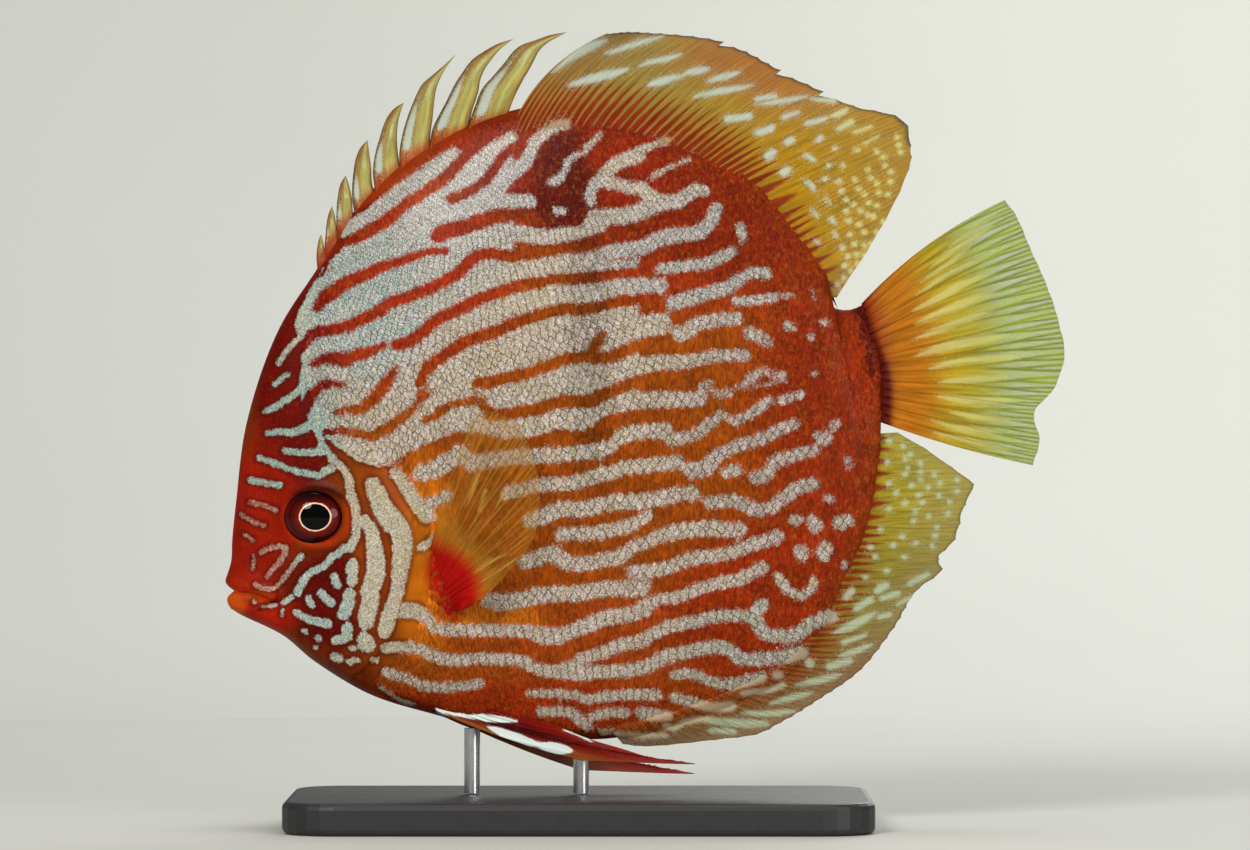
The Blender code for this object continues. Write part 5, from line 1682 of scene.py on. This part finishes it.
# %% Eye finish
IRIS_INNER = paint(112, 22, 10)
IRIS_OUTER = paint(84, 6, 5)
IRIS_SPECK = paint(46, 4, 4)
IRIS_TOP = paint(20, 3, 4)
IRIS_ENDS = paint(10, 4, 4)
FOLD_DARK = paint(8, 3, 3)
RING_CREAM = paint(248, 206, 172)
BALL_DARK = paint(24, 10, 8)
PUPIL_BLACK = (0.0008, 0.0008, 0.0008)
eye_finish, tree, shader = new_finish("eye_wet", Roughness=0.35, Specular_IOR_Level=0.0, Coat_Weight=0.3,
                                      Coat_Roughness=0.01)
away, high = noted(tree, "away"), noted(tree, "high")
specks = grain(tree, 0.0004, 3.0, 0.6)
wobble = reckoned(tree, "MULTIPLY_ADD", reckoned(tree, "SUBTRACT", specks, 0.5), 0.05, away)
iris = blended(tree, stepped(tree, wobble, 0.52, 0.74), IRIS_INNER, IRIS_OUTER)
iris = blended(tree, stepped(tree, specks, 0.4, 0.7, 0.0, 0.5), iris, IRIS_SPECK)
iris = blended(tree, stepped(tree, high, 0.30, 0.80, 0.0, 0.85), iris, IRIS_TOP)
upright = reckoned(tree, "ABSOLUTE", high)
iris = blended(tree, stepped(tree, upright, 0.66, 0.90), iris, IRIS_ENDS)
folds = reckoned(tree, "ABSOLUTE", reckoned(tree, "SUBTRACT", wobble, 0.80))
iris = blended(tree, stepped(tree, folds, 0.045, 0.015, 0.0, 0.6), iris, FOLD_DARK)
ring = reckoned(tree, "SUBTRACT", stepped(tree, away, 0.458, 0.468), stepped(tree, wobble, 0.498, 0.522))
iris = blended(tree, ring, iris, RING_CREAM)
iris = blended(tree, stepped(tree, away, 0.452, 0.462), PUPIL_BLACK, iris)
iris = blended(tree, stepped(tree, away, 0.97, 1.02), iris, BALL_DARK)
tree.links.new(iris, shader.inputs["Base Color"])
for label in ("left", "right"):
    bpy.data.objects["eye_ball_" + label].data.materials.append(eye_finish)

# %% [markdown]
# ### Stand
#
# The stand is a satin black base with two brushed steel rods. It keeps the solids, which get a
# better finish.

# %% Stand finishes
SATIN_DARK, SATIN_LIGHT = (0.012, 0.012, 0.013), (0.020, 0.020, 0.021)
STEEL_DARK, STEEL_LIGHT = (0.42, 0.42, 0.43), (0.62, 0.62, 0.63)
base_finish, tree, shader = new_finish("stand_satin")
mottle = grain(tree, 0.0022, 4.0, 0.6)
satin = blended(tree, mottle, SATIN_DARK, SATIN_LIGHT)
tree.links.new(satin, shader.inputs["Base Color"])
tree.links.new(stepped(tree, mottle, 0.3, 0.7, 0.48, 0.54), shader.inputs["Roughness"])
bumped(tree, shader, 0.15, 0.0001, grain(tree, 0.0005))
rod_finish, tree, shader = new_finish("stand_steel", Metallic=1.0)
place = node(tree, "TexCoord").outputs["Object"]
drawn_out = node(tree, "Mapping", {"Vector": place, "Scale": (6000, 6000, 300)}).outputs[0]
brushed = node(tree, "TexNoise", {"Vector": drawn_out, "Scale": 1.0, "Detail": 3.0}).outputs["Fac"]
tree.links.new(blended(tree, brushed, STEEL_DARK, STEEL_LIGHT), shader.inputs["Base Color"])
tree.links.new(stepped(tree, brushed, 0.3, 0.7, 0.24, 0.36), shader.inputs["Roughness"])
for name, finish in (("stand_base", base_finish), ("stand_rod_front", rod_finish),
                     ("stand_rod_back", rod_finish)):
    part = bpy.data.objects[name]
    part.material_slots[0].material = finish
    print(name, "wears", part.material_slots[0].material.name)

# %% [markdown]
# ## Stage, light and camera
#
# The model stands on a plain pale round floor that curves up into a wall all round, so that any
# side of it can be looked at. The wall shows only from inside and lets the light of the lamps
# outside pass, and the floor runs on beyond it, a little lower. A large soft light from the upper
# left does most of the work, with weaker ones to fill and to show the thin fins. The camera looks
# straight at the left flank from a little over a metre.

# %% Floor
STAGE_TURNS = 97
FLAT_REACH, WALL_CURVE, WALL_HEIGHT = 0.45, 0.5, 2.4
APRON_REACHES, APRON_DROPS = (1, 1, 1.08, 2.6), (0, 0, 0.004, 0.004)
profile = [(0.0, 0.0), (FLAT_REACH, 0.0)]
for turn in np.linspace(0, math.pi / 2, 25)[1:]:
    profile.append((FLAT_REACH + WALL_CURVE * math.sin(turn), WALL_CURVE - WALL_CURVE * math.cos(turn)))
profile.append((FLAT_REACH + WALL_CURVE, WALL_HEIGHT))
turns = np.linspace(0, 2 * math.pi, STAGE_TURNS)
bowl = np.array([[(reach * math.cos(turn), reach * math.sin(turn), height) for reach, height in profile]
                 for turn in turns])
apron = bowl[:, [0, 1, 1, 1]] * np.array(APRON_REACHES)[None, :, None]
apron[:, :, 2] -= APRON_DROPS
floor = laid_grid("studio_floor", STAGE_TURNS, 4, apron.reshape(-1, 3))
wall = laid_grid("studio_wall", STAGE_TURNS, len(profile) - 1, bowl[:, 1:].reshape(-1, 3))
for sheet in (floor, wall):
    face_outwards(sheet)
    bpy.ops.object.mode_set(mode="EDIT")
    bpy.ops.mesh.select_all(action="SELECT")
    if sheet.data.polygons[0].normal.z < 0:
        bpy.ops.mesh.flip_normals()
    bpy.ops.object.mode_set(mode="OBJECT")
PAPER_DARK, PAPER_LIGHT = (0.56, 0.57, 0.53), (0.60, 0.61, 0.57)
for sheet, label in ((floor, "studio_paper"), (wall, "studio_backdrop")):
    finish, tree, shader = new_finish(label, Roughness=0.85, Specular_IOR_Level=0.2)
    paper = blended(tree, grain(tree, 0.15), PAPER_DARK, PAPER_LIGHT)
    tree.links.new(paper, shader.inputs["Base Color"])
    if sheet is wall:
        seen_from_inside = reckoned(tree, "SUBTRACT", 1.0, node(tree, "NewGeometry").outputs["Backfacing"])
        first_seen = node(tree, "LightPath").outputs["Is Camera Ray"]
        tree.links.new(reckoned(tree, "MULTIPLY", seen_from_inside, first_seen), shader.inputs["Alpha"])
    sheet.data.materials.append(finish)


# %% Lights
def soft_light(name, place, aim, size, power, color):
    """A round lamp of a size and power that looks at a place."""
    lamp = bpy.data.lights.new(name, "AREA")
    lamp.shape, lamp.size, lamp.energy, lamp.color = "DISK", size, power, color
    lit = bpy.data.objects.new(name, lamp)
    bpy.context.collection.objects.link(lit)
    lit.location = place
    lit.rotation_euler = (Vector(aim) - Vector(place)).to_track_quat("-Z", "Y").to_euler()


MIDDLE = (0.012, 0.0, 0.08)
soft_light("key", (-0.55, -1.15, 0.80), MIDDLE, 0.50, 13.0, (1.0, 0.98, 0.95))
soft_light("fill", (0.85, -0.95, 0.30), MIDDLE, 0.60, 6.5, (1.0, 0.98, 0.96))
soft_light("top", (0.05, 0.15, 1.10), MIDDLE, 0.60, 4.2, (1.0, 1.0, 1.0))
soft_light("behind", (0.30, 0.80, 0.45), MIDDLE, 0.60, 3.6, (1.0, 1.0, 0.96))
world = bpy.data.worlds.new("studio")
bpy.context.scene.world = world
world.use_nodes = True
world.node_tree.nodes["Background"].inputs["Color"].default_value = (1.0, 0.99, 0.97, 1)
world.node_tree.nodes["Background"].inputs["Strength"].default_value = 0.2
print("lamps", [lamp.name for lamp in bpy.data.lights])

# %% Camera
VIEW_WIDTH = 0.2358
SENSOR = 36.0
camera_data = bpy.data.cameras.new("camera")
camera_data.sensor_width = SENSOR
camera_data.lens = SENSOR * CAMERA_AWAY / VIEW_WIDTH
camera = bpy.data.objects.new("camera", camera_data)
bpy.context.collection.objects.link(camera)
camera.location = (VIEW_MIDDLE[0], -CAMERA_AWAY, VIEW_MIDDLE[1])
camera.rotation_euler = (math.radians(90), 0, 0)
bpy.context.scene.camera = camera
bpy.context.scene.view_settings.view_transform = "Standard"
print("lens", round(camera_data.lens, 1), "mm")
